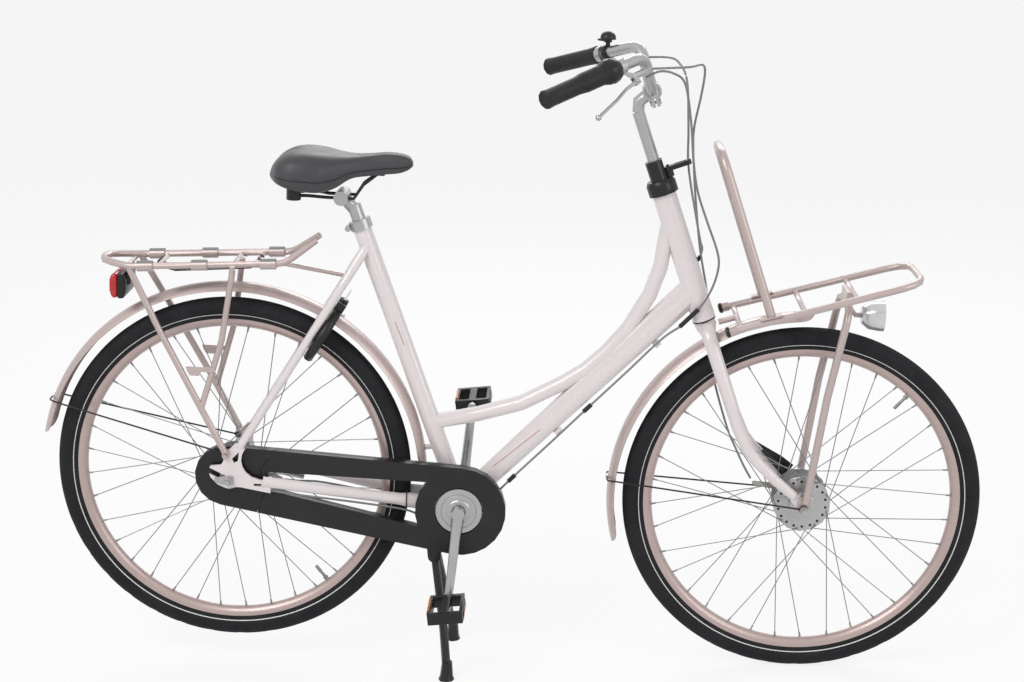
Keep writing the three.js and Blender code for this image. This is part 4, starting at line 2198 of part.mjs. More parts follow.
const frontStay = guardStay(frontAxle, frontStayDeg, at(wheelBase, frontStaySpan, 0), hubBore, frontEyeEdges);
const rearStay = guardStay(rearAxle, rearStayDeg, eyeletAt.clone().setY(rearStaySpan), eyeletRadius, rearEyeEdges);
add('mudguard_front', fuse(mudguard(frontAxle, frontGuardDeg, frontGuardSteps), frontStay), 'rosePaint');
add('mudguard_rear', fuse(mudguard(rearAxle, rearGuardDeg, guardSteps), rearStay), 'rosePaint');
add('rear_carrier', rearCarrier(), 'rosePaint');
add('carrier_strap', carrierStrap(), 'padGrey');
add('tail_lamp_body', tailBody(), 'blackPlastic');
add('tail_lamp_lens', tailLens(), 'redLens');
add('front_carrier', frontCarrier(), 'rosePaint');
add('upright_hoop', uprightHoop(), 'rosePaint');
add('headlamp_body', headlampBody(), 'lampGrey');
add('headlamp_lens', headlampLens(), 'clearLens');

add('stand_bracket', standBracket(), 'blackSteel');
add('stand_legs', standLegs(), 'blackSteel');
add('ring_lock', lockBody(), 'blackPlastic');
add('lock_shackle', lockShackle(), 'brightSteel');
add('lock_key', lockKey(), 'creamPlastic');
add('seat_post', seatPost(), 'aluminium');
add('saddle_base', saddleBase(), 'blackPlastic');
add('saddle_cover', saddleCover(), 'saddleCover');

bike.rotation.y = standTilt;
bike.updateMatrixWorld(true);
const whole = new THREE.Group();
for (const mesh of [...bike.children]) {
  mesh.geometry.applyMatrix4(bike.matrixWorld);
  whole.add(mesh);
}
const box = new THREE.Box3().setFromObject(whole, true);
const middle = box.getCenter(at(0, 0, 0));
for (const mesh of whole.children) {
  mesh.geometry.translate(-middle.x, -middle.y, -box.min.z);
}

export default whole;
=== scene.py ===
import json
import math

import bpy
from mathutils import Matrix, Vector


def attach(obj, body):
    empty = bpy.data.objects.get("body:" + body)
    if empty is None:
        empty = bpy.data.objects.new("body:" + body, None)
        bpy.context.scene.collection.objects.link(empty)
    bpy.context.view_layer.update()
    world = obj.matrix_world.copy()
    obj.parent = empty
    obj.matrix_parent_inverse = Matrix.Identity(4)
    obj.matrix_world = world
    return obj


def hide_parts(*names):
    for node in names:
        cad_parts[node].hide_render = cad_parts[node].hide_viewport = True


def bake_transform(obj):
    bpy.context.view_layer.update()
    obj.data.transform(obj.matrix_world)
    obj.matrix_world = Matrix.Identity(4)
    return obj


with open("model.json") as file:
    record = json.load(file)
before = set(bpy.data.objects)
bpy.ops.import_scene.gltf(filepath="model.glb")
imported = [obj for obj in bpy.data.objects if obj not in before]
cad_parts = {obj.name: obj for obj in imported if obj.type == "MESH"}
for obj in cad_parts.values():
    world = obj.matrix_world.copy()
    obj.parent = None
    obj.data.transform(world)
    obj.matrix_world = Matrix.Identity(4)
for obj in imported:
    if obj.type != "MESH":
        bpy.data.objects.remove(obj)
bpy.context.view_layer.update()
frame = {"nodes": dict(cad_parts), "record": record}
nodes = frame["nodes"]

# The camera: where the photograph was taken from, in the bicycle's own frame

FOCAL_PX = 1850
IMAGE_WIDTH = 1024
SENSOR_MM = 36.0

camera_data = bpy.data.cameras.new("camera")
camera_data.sensor_fit = "HORIZONTAL"
camera_data.sensor_width = SENSOR_MM
camera_data.lens = FOCAL_PX * SENSOR_MM / IMAGE_WIDTH
camera = bpy.data.objects.new("camera", camera_data)
camera.location = (0.1184, -3.4621, 1.5969)
camera.rotation_euler = (math.radians(90 - 14.995), 0, math.radians(1.919))
bpy.context.scene.collection.objects.link(camera)
bpy.context.scene.camera = camera

# The level bicycle in the stored frame: it stands on its centre stand, rear wheel off the ground

WHEEL_BASE = 1120.0
REAR_LIFT = 51.5
TILT = math.asin(REAR_LIFT / WHEEL_BASE)
REAR_AXLE = Vector((-0.54765, 0.0, 0.4022))
FRONT_AXLE = Vector((0.57117, 0.0, 0.3507))

# Materials: each is built from object-space noise, so it stays on the surface in every view

# Sockets of a mix node: the factor, the two inputs and the output
MIX_COLOUR = (0, 6, 7, 2)
MIX_VALUE = (0, 2, 3, 0)


class Shader:
    """A principled material whose colour, roughness and bump come from procedural nodes."""

    def __init__(self, name, metallic, coat, specular):
        self.material = bpy.data.materials.new(name)
        self.material.use_nodes = True
        self.tree = self.material.node_tree
        self.bsdf = self.tree.nodes["Principled BSDF"]
        self.bsdf.inputs["Metallic"].default_value = metallic
        self.bsdf.inputs["Coat Weight"].default_value = coat
        self.bsdf.inputs["Coat Roughness"].default_value = 0.08
        self.bsdf.inputs["Specular IOR Level"].default_value = specular
        self.place = self.tree.nodes.new("ShaderNodeTexCoord").outputs["Object"]

    def node(self, kind, **settings):
        made = self.tree.nodes.new(kind)
        for key, value in settings.items():
            setattr(made, key, value)
        return made

    def link(self, source, target):
        self.tree.links.new(source, target)

    def noise(self, scale, detail=4.0, rough=0.55, stretch=(1, 1, 1)):
        mapping = self.node("ShaderNodeMapping")
        mapping.inputs["Scale"].default_value = stretch
        self.link(self.place, mapping.inputs["Vector"])
        made = self.node("ShaderNodeTexNoise")
        made.inputs["Scale"].default_value = scale
        made.inputs["Detail"].default_value = detail
        made.inputs["Roughness"].default_value = rough
        self.link(mapping.outputs["Vector"], made.inputs["Vector"])
        return made.outputs["Fac"]

    def cells(self, scale, feature="F1"):
        made = self.node("ShaderNodeTexVoronoi", feature=feature)
        made.inputs["Scale"].default_value = scale
        self.link(self.place, made.inputs["Vector"])
        return made.outputs["Distance"]

    def ramp(self, source, low, high, start, end):
        made = self.node("ShaderNodeValToRGB")
        made.color_ramp.elements[0].position = start
        made.color_ramp.elements[0].color = (*low, 1)
        made.color_ramp.elements[1].position = end
        made.color_ramp.elements[1].color = (*high, 1)
        self.link(source, made.inputs["Fac"])
        return made.outputs["Color"]

    def spread(self, source, low, high):
        made = self.node("ShaderNodeMapRange")
        made.inputs["From Min"].default_value = 0.3
        made.inputs["From Max"].default_value = 0.7
        made.inputs["To Min"].default_value = low
        made.inputs["To Max"].default_value = high
        self.link(source, made.inputs["Value"])
        return made.outputs["Result"]

    def mix(self, factor, first, second):
        made = self.node("ShaderNodeMix", data_type="RGBA")
        for socket, source in zip(MIX_COLOUR, (factor, first, second)):
            self.link(source, made.inputs[socket])
        return made.outputs[MIX_COLOUR[3]]

    def sum_of(self, operation, first, second):
        made = self.node("ShaderNodeMath", operation=operation)
        for socket, value in zip(made.inputs, (first, second)):
            if isinstance(value, (int, float)):
                socket.default_value = value
            else:
                self.link(value, socket)
        return made.outputs["Value"]

    def vector(self, operation, first, second, output="Vector"):
        made = self.node("ShaderNodeVectorMath", operation=operation)
        self.link(first, made.inputs[0])
        made.inputs[1].default_value = second
        return made.outputs[output]

    def from_axle(self, axle):
        """The distance from a wheel's axle, seen from the side."""
        flat = self.vector("MULTIPLY", self.vector("SUBTRACT", self.place, axle), (1, 0, 1))
        return self.vector("LENGTH", flat, (0, 0, 0), "Value")

    def level(self, across, up):
        """The distance along a direction of the level bicycle, in metres from the rear axle."""
        c, s = math.cos(TILT), math.sin(TILT)
        heading = (c * across + s * up, 0, c * up - s * across)
        from_rear = self.vector("SUBTRACT", self.place, REAR_AXLE)
        return self.vector("DOT_PRODUCT", from_rear, heading, "Value")

    def within(self, value, low, high):
        above = self.sum_of("GREATER_THAN", value, low)
        return self.sum_of("MULTIPLY", above, self.sum_of("LESS_THAN", value, high))

    def patch(self, mask, colour, roughness, metallic):
        """Another finish where the mask is 1."""
        for name, value in (("Base Color", colour), ("Roughness", roughness), ("Metallic", metallic)):
            socket = self.bsdf.inputs[name]
            coloured = name == "Base Color"
            made = self.node("ShaderNodeMix", data_type="RGBA" if coloured else "FLOAT")
            factor, first, second, result = MIX_COLOUR if coloured else MIX_VALUE
            if socket.is_linked:
                self.link(socket.links[0].from_socket, made.inputs[first])
            else:
                made.inputs[first].default_value = socket.default_value
            made.inputs[second].default_value = (*value, 1) if coloured else value
            self.link(mask, made.inputs[factor])
            self.link(made.outputs[result], socket)

    def bump(self, height, strength, distance):
        made = self.node("ShaderNodeBump")
        made.inputs["Strength"].default_value = strength
        made.inputs["Distance"].default_value = distance
        self.link(height, made.inputs["Height"])
        self.link(made.outputs["Normal"], self.bsdf.inputs["Normal"])


def toned(colour, factor):
    return tuple(min(1.0, c * factor) for c in colour)


def surface(name, colour, roughness, metallic, coat, grain, grain_depth, variation, cloud,
            specular=0.5, stretch=(1, 1, 1), patches=None):
    """A finish with slow colour clouds, a varying gloss and a fine grain."""
    shader = Shader(name, metallic, coat, specular)
    slow = shader.noise(cloud, 5.0, 0.6)
    tone = shader.ramp(slow, toned(colour, 1 - variation), toned(colour, 1 + variation), 0.35, 0.65)
    shader.link(tone, shader.bsdf.inputs["Base Color"])
    worn = shader.noise(cloud * 9, 6.0, 0.65, stretch)
    shader.link(shader.spread(worn, roughness * 0.82, roughness * 1.2), shader.bsdf.inputs["Roughness"])
    shader.bump(shader.noise(grain, 3.0, 0.6, stretch), 0.35, grain_depth)
    if patches:
        patches(shader)
    return shader.material


BLACK = (0.012, 0.012, 0.013)
# Start and end of each line, level, in metres from the rear axle
PINSTRIPES = (((0.5122, 0.0396), (0.6005, 0.121)), ((0.3105, 0.3222), (0.3293, 0.2772)))
PINSTRIPE_HALF, PINSTRIPE_RED = 0.0007, (0.42, 0.12, 0.07)
CARRIER_SLOPE, CARRIER_TOP = 20 / 295, 0.4272 + 0.0064
PAD_PLACES, PAD_HALF, PAD_GREY = (-0.165, -0.061, 0.07), 0.0153, (0.2, 0.2, 0.205)
BRAKE_PLATE_EDGE = 0.0475


def pinstripes(shader):
    """Thin lines along the down tube and the seat tube."""
    for start, end in PINSTRIPES:
        run = Vector(end) - Vector(start)
        ahead = run.normalized()
        along = shader.level(ahead.x, ahead.y)
        beside = shader.level(-ahead.y, ahead.x)
        first = Vector(start).dot(ahead)
        line = Vector(start).dot(Vector((-ahead.y, ahead.x)))
        mask = shader.sum_of("MULTIPLY", shader.within(along, first, first + run.length),
                             shader.within(beside, line - PINSTRIPE_HALF, line + PINSTRIPE_HALF))
        shader.patch(mask, PINSTRIPE_RED, 0.35, 0.0)


def carrier_pads(shader):
    """Grey rubber pads on the rails of the rear carrier."""
    ahead, up = shader.level(1, 0), shader.level(0, 1)
    rise = shader.sum_of("SUBTRACT", up, shader.sum_of("MULTIPLY", ahead, CARRIER_SLOPE))
    high = shader.sum_of("GREATER_THAN", rise, CARRIER_TOP)
    for place in PAD_PLACES:
        mask = shader.sum_of("MULTIPLY", shader.within(ahead, place - PAD_HALF, place + PAD_HALF), high)
        shader.patch(mask, PAD_GREY, 0.55, 0.0)


def brake_parts(shader):
    """The front brake's plate is bare alloy and its reaction arm is black."""
    arm = shader.sum_of("GREATER_THAN", shader.from_axle(FRONT_AXLE), BRAKE_PLATE_EDGE)
    shader.patch(arm, BLACK, 0.4, 0.0)


def leather(name, colour, roughness):
    """A pebbled cover: cells for the grain, with painted shade darkening the creases."""
    shader = Shader(name, 0.0, 0.0, 0.35)
    cells = shader.cells(900)
    fine = shader.noise(1600, 3.0)
    slow = shader.noise(14, 4.0)
    base = shader.ramp(slow, toned(colour, 0.85), toned(colour, 1.2), 0.3, 0.7)
    # Painted shade: the colour darkens in the creases, where the cells sink.
    crease_shade = shader.ramp(cells, toned(colour, 0.55), toned(colour, 1.15), 0.05, 0.5)
    shader.link(shader.mix(fine, base, crease_shade), shader.bsdf.inputs["Base Color"])
    gloss = shader.spread(slow, roughness * 0.85, roughness * 1.15)
    shader.link(gloss, shader.bsdf.inputs["Roughness"])
    shader.bump(cells, 0.45, 0.0002)
    return shader.material


def lens(name, colour, clear, ribs):
    """A moulded lens with small prisms behind a glossy face; the prisms carry painted shade and glints.
    """
    shader = Shader(name, 0.0, 0.0, 0.6)
    shader.bsdf.inputs["Transmission Weight"].default_value = clear
    shader.bsdf.inputs["IOR"].default_value = 1.49
    prisms = shader.cells(ribs, "SMOOTH_F1")
    # Painted shade and glints on the prisms: darker at each prism's middle, lighter towards its edges.
    shader.link(shader.ramp(prisms, toned(colour, 0.6), toned(colour, 1.15), 0.1, 0.7),
                shader.bsdf.inputs["Base Color"])
    shader.link(shader.spread(shader.noise(60), 0.06, 0.16), shader.bsdf.inputs["Roughness"])
    shader.bump(prisms, 0.6, 0.0006)
    return shader.material


PALE = (0.71, 0.648, 0.65)
ROSE = (0.49, 0.4, 0.38)
RIM = (0.46, 0.36, 0.34)
SILVER = (0.43, 0.43, 0.435)
BRUSHED = (1, 6, 1)

# Colour, roughness, metallic, coat, grain scale, grain depth, colour variation, cloud scale,
# then specular and the stretch of the grain where they aren't the usual ones
FINISHES = {
    "pale_paint": (PALE, 0.24, 0.0, 0.6, 1400, 0.00001, 0.012, 4),
    "rose_paint": (ROSE, 0.34, 0.35, 0.35, 2600, 0.00002, 0.03, 7),
    "rose_alloy": (RIM, 0.33, 0.45, 0.2, 2600, 0.00002, 0.03, 9),
    "spoke_steel": ((0.24, 0.24, 0.245), 0.34, 0.8, 0.0, 1500, 0.00002, 0.1, 30),
    "black_paint": (BLACK, 0.3, 0.0, 0.1, 1500, 0.00003, 0.15, 12, 0.3),
    "silver_alloy": (SILVER, 0.3, 0.85, 0.0, 1200, 0.00002, 0.05, 14, 0.5, BRUSHED),
    "chain_steel": ((0.42, 0.41, 0.39), 0.38, 0.9, 0.0, 1500, 0.00004, 0.15, 40),
    "bright_steel": ((0.72, 0.72, 0.73), 0.16, 1.0, 0.0, 1200, 0.00001, 0.04, 20),
    "tyre_black": ((0.014, 0.014, 0.016), 0.75, 0.0, 0.0, 1300, 0.0002, 0.2, 20, 0.22),
    "tyre_band": ((0.66, 0.66, 0.65), 0.42, 0.0, 0.0, 1800, 0.00005, 0.06, 30),
    "grip_rubber": ((0.016, 0.016, 0.017), 0.55, 0.0, 0.0, 1500, 0.00015, 0.2, 26, 0.28),
    "strap_rubber": ((0.035, 0.035, 0.037), 0.6, 0.0, 0.0, 1200, 0.00015, 0.2, 30, 0.35),
    "black_plastic": ((0.013, 0.013, 0.014), 0.33, 0.0, 0.0, 2200, 0.00006, 0.15, 16, 0.32),
    "cable_grey": ((0.2, 0.2, 0.205), 0.34, 0.3, 0.2, 1500, 0.00002, 0.07, 30),
    "lamp_silver": ((0.62, 0.62, 0.63), 0.22, 0.5, 0.4, 1600, 0.00001, 0.05, 20),
}
BRAKE_ALLOY = (SILVER, 0.34, 0.85, 0.0, 1200, 0.00002, 0.05, 14, 0.5, BRUSHED)

finish = {name: surface(name + "_fine", *values) for name, values in FINISHES.items()}
finish["frame_paint"] = surface("frame_paint_fine", *FINISHES["pale_paint"], patches=pinstripes)
finish["carrier_paint"] = surface("carrier_paint_fine", *FINISHES["rose_paint"], patches=carrier_pads)
finish["brake_alloy"] = surface("brake_alloy_fine", *BRAKE_ALLOY, patches=brake_parts)
finish["lamp_red"] = lens("lamp_red_fine", (0.55, 0.02, 0.02), 0.15, 260)
finish["lamp_clear"] = lens("lamp_clear_fine", (0.86, 0.88, 0.9), 0.55, 300)
finish["reflector_amber"] = lens("reflector_amber_fine", (0.8, 0.25, 0.03), 0.1, 420)
finish["saddle_skin"] = leather("saddle_skin_fine", (0.05, 0.05, 0.055), 0.42)
own_finish = {"frame": "frame_paint", "rear_carrier": "carrier_paint", "front_brake": "brake_alloy"}
node_slot = {part["node"]: part["material_slot"] for part in frame["record"]["subparts"]}


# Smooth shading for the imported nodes, kept sharp where two faces meet at a real edge

MERGE_DISTANCE = 0.00001


def smoothing(threshold_deg):
    """Geometry nodes that merge the doubled vertices and smooth all but the sharp edges."""
    name = f"smooth_{threshold_deg}"
    tree = bpy.data.node_groups.get(name)
    if tree:
        return tree
    tree = bpy.data.node_groups.new(name, "GeometryNodeTree")
    tree.interface.new_socket("Geometry", in_out="INPUT", socket_type="NodeSocketGeometry")
    tree.interface.new_socket("Geometry", in_out="OUTPUT", socket_type="NodeSocketGeometry")
    start = tree.nodes.new("NodeGroupInput")
    end = tree.nodes.new("NodeGroupOutput")
    merge = tree.nodes.new("GeometryNodeMergeByDistance")
    merge.inputs["Distance"].default_value = MERGE_DISTANCE
    faces = tree.nodes.new("GeometryNodeSetShadeSmooth")
    faces.domain = "FACE"
    edges = tree.nodes.new("GeometryNodeSetShadeSmooth")
    edges.domain = "EDGE"
    edges.inputs["Shade Smooth"].default_value = False
    angle = tree.nodes.new("GeometryNodeInputMeshEdgeAngle")
    above = tree.nodes.new("FunctionNodeCompare")
    above.data_type = "FLOAT"
    above.operation = "GREATER_THAN"
    above.inputs["B"].default_value = math.radians(threshold_deg)
    link = tree.links.new
    link(start.outputs[0], merge.inputs["Geometry"])
    link(merge.outputs["Geometry"], faces.inputs["Geometry"])
    link(faces.outputs["Geometry"], edges.inputs["Geometry"])
    link(angle.outputs["Unsigned Angle"], above.inputs["A"])
    link(above.outputs["Result"], edges.inputs["Selection"])
    link(edges.outputs["Geometry"], end.inputs[0])
    return tree


SMOOTH_DEG = {"rear_carrier": 65, "front_carrier": 65, "handlebar": 50, "saddle_base": 62,
              "stand_legs": 62, "fork": 50, "frame": 50, "chainring": 32, "sprocket": 32, "chain": 40,
              "grip_left": 40, "grip_right": 40, "twist_grip": 40}
SMOOTH_DEG_ELSE = 48
BEVEL_MM = {"chaincase": 3.5, "chaincase_cap": 3.5, "crank_right": 1.2, "crank_left": 1.2,
            "ring_lock": 1.5, "stand_bracket": 1.0, "pedal_right": 1.0, "pedal_left": 1.0,
            "stem_collar": 1.0, "headset_lower": 0.8, "bell": 0.8, "carrier_strap": 0.5,
            "tail_lamp_lens": 5.0, "tail_lamp_body": 5.0, "rear_brake": 1.0}
# Faces closer in angle than the first are one flat face; edges sharper than the second are rounded
FLAT_DEG, EDGE_DEG = 0.6, 50
for name, node in nodes.items():
    node.data.materials.clear()
    node.data.materials.append(finish[own_finish.get(name, node_slot[name])])
    if name in BEVEL_MM:
        weld = node.modifiers.new("weld", "WELD")
        weld.merge_threshold = MERGE_DISTANCE
        flat = node.modifiers.new("flat", "DECIMATE")
        flat.decimate_type = "DISSOLVE"
        flat.angle_limit = math.radians(FLAT_DEG)
        round_off = node.modifiers.new("round_off", "BEVEL")
        round_off.width = BEVEL_MM[name] / 1000
        round_off.segments = 3
        round_off.limit_method = "ANGLE"
        round_off.angle_limit = math.radians(EDGE_DEG)
        round_off.use_clamp_overlap = True
    modifier = node.modifiers.new("smooth", "NODES")
    modifier.node_group = smoothing(SMOOTH_DEG.get(name, SMOOTH_DEG_ELSE))


# Mesh helpers

def row(x, y, z):
    """A point of the level bicycle, in mm from the rear axle, in metres in the stored frame."""
    c, s = math.cos(TILT), math.sin(TILT)
    return REAR_AXLE + Vector((c * x + s * z, y, c * z - s * x)) / 1000


def piece(name, vertices, faces, material, body, smooth_deg=40):
    """A mesh of the scene, attached to a body when one is given."""
    mesh = bpy.data.meshes.new(name)
    mesh.from_pydata([tuple(v) for v in vertices], [], faces)
    mesh.materials.append(material)
    mesh.validate()
    mesh.update()
    mesh.shade_smooth()
    mesh.set_sharp_from_angle(angle=math.radians(smooth_deg))
    made = bpy.data.objects.new(name, mesh)
    bpy.context.scene.collection.objects.link(made)
    if body:
        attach(made, body)
    return made


def grid_faces(rings, points, close_rings=False, close_points=True):
    """Faces of a grid of rings by points, as one skin."""
    faces = []
    for i in range(rings if close_rings else rings - 1):
        for k in range(points if close_points else points - 1):
            a, b = i * points + k, i * points + (k + 1) % points
            c, d = ((i + 1) % rings) * points + (k + 1) % points, ((i + 1) % rings) * points + k
            faces.append((a, b, c, d))
    return faces


def tube_piece(name, path, radius, material, body, sides=8, closed=False):
    """A round tube along a path of points in the stored frame."""
    vertices = []
    count = len(path)
    for i, point in enumerate(path):
        before = path[(i - 1) % count] if closed else path[max(i - 1, 0)]
        after = path[(i + 1) % count] if closed else path[min(i + 1, count - 1)]
        heading = (after - before).normalized()
        helper = Vector((0, 0, 1)) if abs(heading.z) < 0.9 else Vector((0, 1, 0))
        across = heading.cross(helper).normalized()
        up = across.cross(heading).normalized()
        for k in range(sides):
            angle = 2 * math.pi * k / sides
            vertices.append(point + (across * math.cos(angle) + up * math.sin(angle)) * radius)
    faces = [tuple(reversed(f)) for f in grid_faces(count, sides, close_rings=closed)]
    if not closed:
        faces.append(tuple(range(sides)))
        faces.append(tuple((count - 1) * sides + k for k in reversed(range(sides))))
    return piece(name, vertices, faces, material, body, 60)


def rounded(points, radius, steps=6):
    """The path with its inner corners turned into short curves."""
    path = [points[0]]
    for before, corner, after in zip(points, points[1:], points[2:]):
        into, out = (before - corner), (after - corner)
        reach = min(radius, into.length * 0.48, out.length * 0.48)
        start, end = corner + into.normalized() * reach, corner + out.normalized() * reach
        for k in range(steps + 1):
            t = k / steps
            path.append(start * (1 - t) ** 2 + corner * 2 * t * (1 - t) + end * t * t)
    return path + [points[-1]]


def curve_through(values, position):
    """A smooth value between the stations, by Catmull-Rom."""
    last = len(values) - 1
    i = min(int(position), last - 1)
    t = position - i
    p0, p1, p2, p3 = (values[min(max(i + k, 0), last)] for k in (-1, 0, 1, 2))
    return 0.5 * (2 * p1 + (p2 - p0) * t + (2 * p0 - 5 * p1 + 4 * p2 - p3) * t * t
                  + (3 * p1 - p0 - 3 * p2 + p3) * t ** 3)


def lathe(name, profile, centre, axis, steps, material, body, smooth_deg=30):
    """A turned piece: pairs of radius and distance along the axis, in mm, round a centre."""
    helper = Vector((0, 0, 1)) if abs(axis.z) < 0.9 else Vector((1, 0, 0))
    across = axis.cross(helper).normalized()
    up = axis.cross(across).normalized()
    vertices = []
    for step in range(steps):
        turn = 2 * math.pi * step / steps
        out = across * math.cos(turn) + up * math.sin(turn)
        vertices += [centre + (out * radius + axis * height) / 1000 for radius, height in profile]
    faces = grid_faces(steps, len(profile), close_rings=True, close_points=False)
    return piece(name, vertices, faces, material, body, smooth_deg)


def plate_piece(name, outline, middle, ahead, up, out, thickness, chamfer, material, body):
    """A flat plate with chamfered edges: an outline in mm on two directions round a middle point."""
    centre_u = sum(u for u, v in outline) / len(outline)
    centre_v = sum(v for u, v in outline) / len(outline)
    flat = 0.5 - chamfer / thickness
    vertices = []
    for depth, shrink in ((-0.5, chamfer), (-flat, 0.0), (flat, 0.0), (0.5, chamfer)):
        for u, v in outline:
            share = 1 - shrink / math.hypot(u - centre_u, v - centre_v)
            place = (ahead * (centre_u + (u - centre_u) * share)
                     + up * (centre_v + (v - centre_v) * share))
            vertices.append(middle + (place + out * depth * thickness) / 1000)
    count = len(outline)
    faces = grid_faces(4, count)
    faces.append(tuple(reversed(range(count))))
    faces.append(tuple(3 * count + k for k in range(count)))
    return piece(name, vertices, faces, finish[material], body, 35)


AHEAD = row(1, 0, 0) - row(0, 0, 0)
AHEAD.normalize()
LIFT = Vector((-AHEAD.z, 0, AHEAD.x))
SIDE = Vector((0, 1, 0))
SIDES = ((1, "left"), (-1, "right"))


# Tyres: a round casing with a grooved tread, shoulder blocks and a pale ring on each side wall

TYRE_RADIUS = 350.6
TYRE_HALF = 20.0
RIM_EDGE = 317.3
RIM_GAP = 0.4
TREAD_STEPS = 216
TYRE_STRIPS = 44
TYRE_BEAD = [(310.0, 12.95), (310.6, 13.7), (313.5, 14.5), (316.6, 15.2)]


def tyre_rise(across, step):
    """How far the tread stands above its grooves, in mm, at a share of the half width."""
    place = abs(across)
    if place < 0.07 or 0.3 < place < 0.36:
        return -1.1
    if place < 0.62:
        return -0.9 if (step + (2 if across > 0 else 0)) % 6 == 0 and place > 0.36 else 0.0
    if place < 0.8:
        return -1.0 if step % 3 == 0 else -0.15
    return -0.5


def tyre(name, node, centre, body):
    crown = TYRE_RADIUS - TYRE_HALF
    reach = math.acos((RIM_EDGE + RIM_GAP - crown) / TYRE_HALF)
    angles = [-reach + 2 * reach * k / TYRE_STRIPS for k in range(TYRE_STRIPS + 1)]
    points = len(angles) + 2 * len(TYRE_BEAD)
    vertices = []
    for step in range(TREAD_STEPS):
        turn = 2 * math.pi * step / TREAD_STEPS
        ring = []
        for angle in angles:
            across = math.sin(angle) if math.cos(angle) > 0 else math.copysign(1.0, angle)
            rise = tyre_rise(across, step) if math.cos(angle) > 0.25 else -0.5
            radius = crown + (TYRE_HALF + rise) * math.cos(angle)
            y = (TYRE_HALF + rise) * math.sin(angle)
            ring.append((radius, y))
        ring = [(r, -y) for r, y in TYRE_BEAD] + ring + TYRE_BEAD[::-1]
        vertices += [centre + Vector((r * math.cos(turn), y, r * math.sin(turn))) / 1000
                     for r, y in ring]
    faces = grid_faces(TREAD_STEPS, points, close_rings=True)
    made = piece(name, vertices, faces, finish["tyre_black"], body, 30)
    made.data.materials.append(finish["tyre_band"])
    edge = len(TYRE_BEAD)
    bands = ([edge, edge + 1], [points - edge - 2, points - edge - 1])
    for polygon in made.data.polygons:
        if sorted({v % points for v in polygon.vertices}) in bands:
            polygon.material_index = 1
    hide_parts(node)


tyre("tyre_tread_front", "front_tyre", FRONT_AXLE, "front_wheel")
tyre("tyre_tread_rear", "rear_tyre", REAR_AXLE, "rear_wheel")


# Rims: a round double wall with laced spokes, nipples and a valve

RIM_SECTION = [(317, 12.5), (314, 12.9), (309, 12.8), (304, 12.2), (300, 10.4), (296.5, 7.4),
               (293.8, 3.8), (292.4, 0.8)]
RIM_STEPS = 216
SPOKES_PER_SIDE = 18
SPOKE_CROSSINGS = 3
SPOKE_PHASE_DEG = 5
SPOKE_END_RADIUS, SPOKE_END_SIDE = 297.9, 2.6
NIPPLE_PLACES = (0.0145, 0.014, 0.0075, 0.007, 0)
SPOKE_RADII = (0.95, 0.95, 1.7, 1.9, 2.2, 2.2)
HEAD_LIFT = 1.2
# Radius of the spoke holes, distance from the middle and thickness of a hub's flange
FLANGES = {"front": (51, 26, 4), "rear": (46, 28, 4)}
VALVE_STEPS = (0, 0.2, 0.21, 0.3, 0.31, 0.62, 0.63, 1)
VALVE_RADII = (4.2, 4.2, 5.0, 5.0, 3.0, 3.0, 3.6, 3.2)


def by_wheel(hub_x, radius, angle_deg, across=0.0):
    angle = math.radians(angle_deg)
    return row(hub_x + radius * math.cos(angle), across, radius * math.sin(angle))


def ring_round(path, radii, sides):
    """The vertices of a round rod whose radius changes along its path."""
    heading = (path[-1] - path[0]).normalized()
    helper = Vector((0, 1, 0)) if abs(heading.y) < 0.9 else Vector((1, 0, 0))
    across = heading.cross(helper).normalized()
    up = across.cross(heading).normalized()
    turns = [2 * math.pi * k / sides for k in range(sides)]
    return [point + (across * math.cos(turn) + up * math.sin(turn)) * radius
            for point, radius in zip(path, radii) for turn in turns]


def rod_faces(rings, sides, start):
    faces = [tuple(v + start for v in reversed(f)) for f in grid_faces(rings, sides)]
    faces.append(tuple(start + k for k in range(sides)))
    faces.append(tuple(start + (rings - 1) * sides + k for k in reversed(range(sides))))
    return faces


def wheel_rim(name, node, hub_x, flange, valve_deg, body):
    section = RIM_SECTION + [(r, -y) for r, y in reversed(RIM_SECTION)]
    vertices = [by_wheel(hub_x, radius, 360 * step / RIM_STEPS, across)
                for step in range(RIM_STEPS) for radius, across in section]
    faces = grid_faces(RIM_STEPS, len(section), close_rings=True)
    shades = [0] * len(faces)
    hole_radius, offset, thickness = flange
    turn = 360 / SPOKES_PER_SIDE
    lift = thickness / 2 + HEAD_LIFT

    def rod(path, radii, sides, shade):
        start = len(vertices)
        vertices.extend(ring_round(path, [r / 1000 for r in radii], sides))
        added = rod_faces(len(path), sides, start)
        faces.extend(added)
        shades.extend([shade] * len(added))

    for side in (-1, 1):
        for i in range(SPOKES_PER_SIDE):
            leads = i % 2 == 0
            hole_deg = SPOKE_PHASE_DEG + i * turn + (turn / 2 if side == 1 else 0)
            rim_deg = hole_deg + (SPOKE_CROSSINGS if leads else -SPOKE_CROSSINGS) * turn
            across = offset + (-lift if leads else lift + HEAD_LIFT)
            start = by_wheel(hub_x, hole_radius, hole_deg, side * across)
            end = by_wheel(hub_x, SPOKE_END_RADIUS, rim_deg, side * SPOKE_END_SIDE)
            run = (end - start).length
            ahead = (end - start).normalized()
            places = [0] + [run - d for d in NIPPLE_PLACES]
            rod([start + ahead * d for d in places], SPOKE_RADII, 8, 1)
            head = start - Vector((0, side * (1.6 if leads else -1.6), 0)) / 1000
            head_path = [start + (start - head) * 0.6, head, head + (head - start) * 0.5]
            rod(head_path, (1.0, 1.9, 1.2), 8, 1)
    foot = by_wheel(hub_x, 298, valve_deg)
    tip = by_wheel(hub_x, 257, valve_deg)
    rod([foot.lerp(tip, t) for t in VALVE_STEPS], VALVE_RADII, 12, 1)
    made = piece(name, vertices, faces, finish["rose_alloy"], body, 45)
    made.data.materials.append(finish["spoke_steel"])
    for polygon, shade in zip(made.data.polygons, shades):
        polygon.material_index = shade
    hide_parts(node)


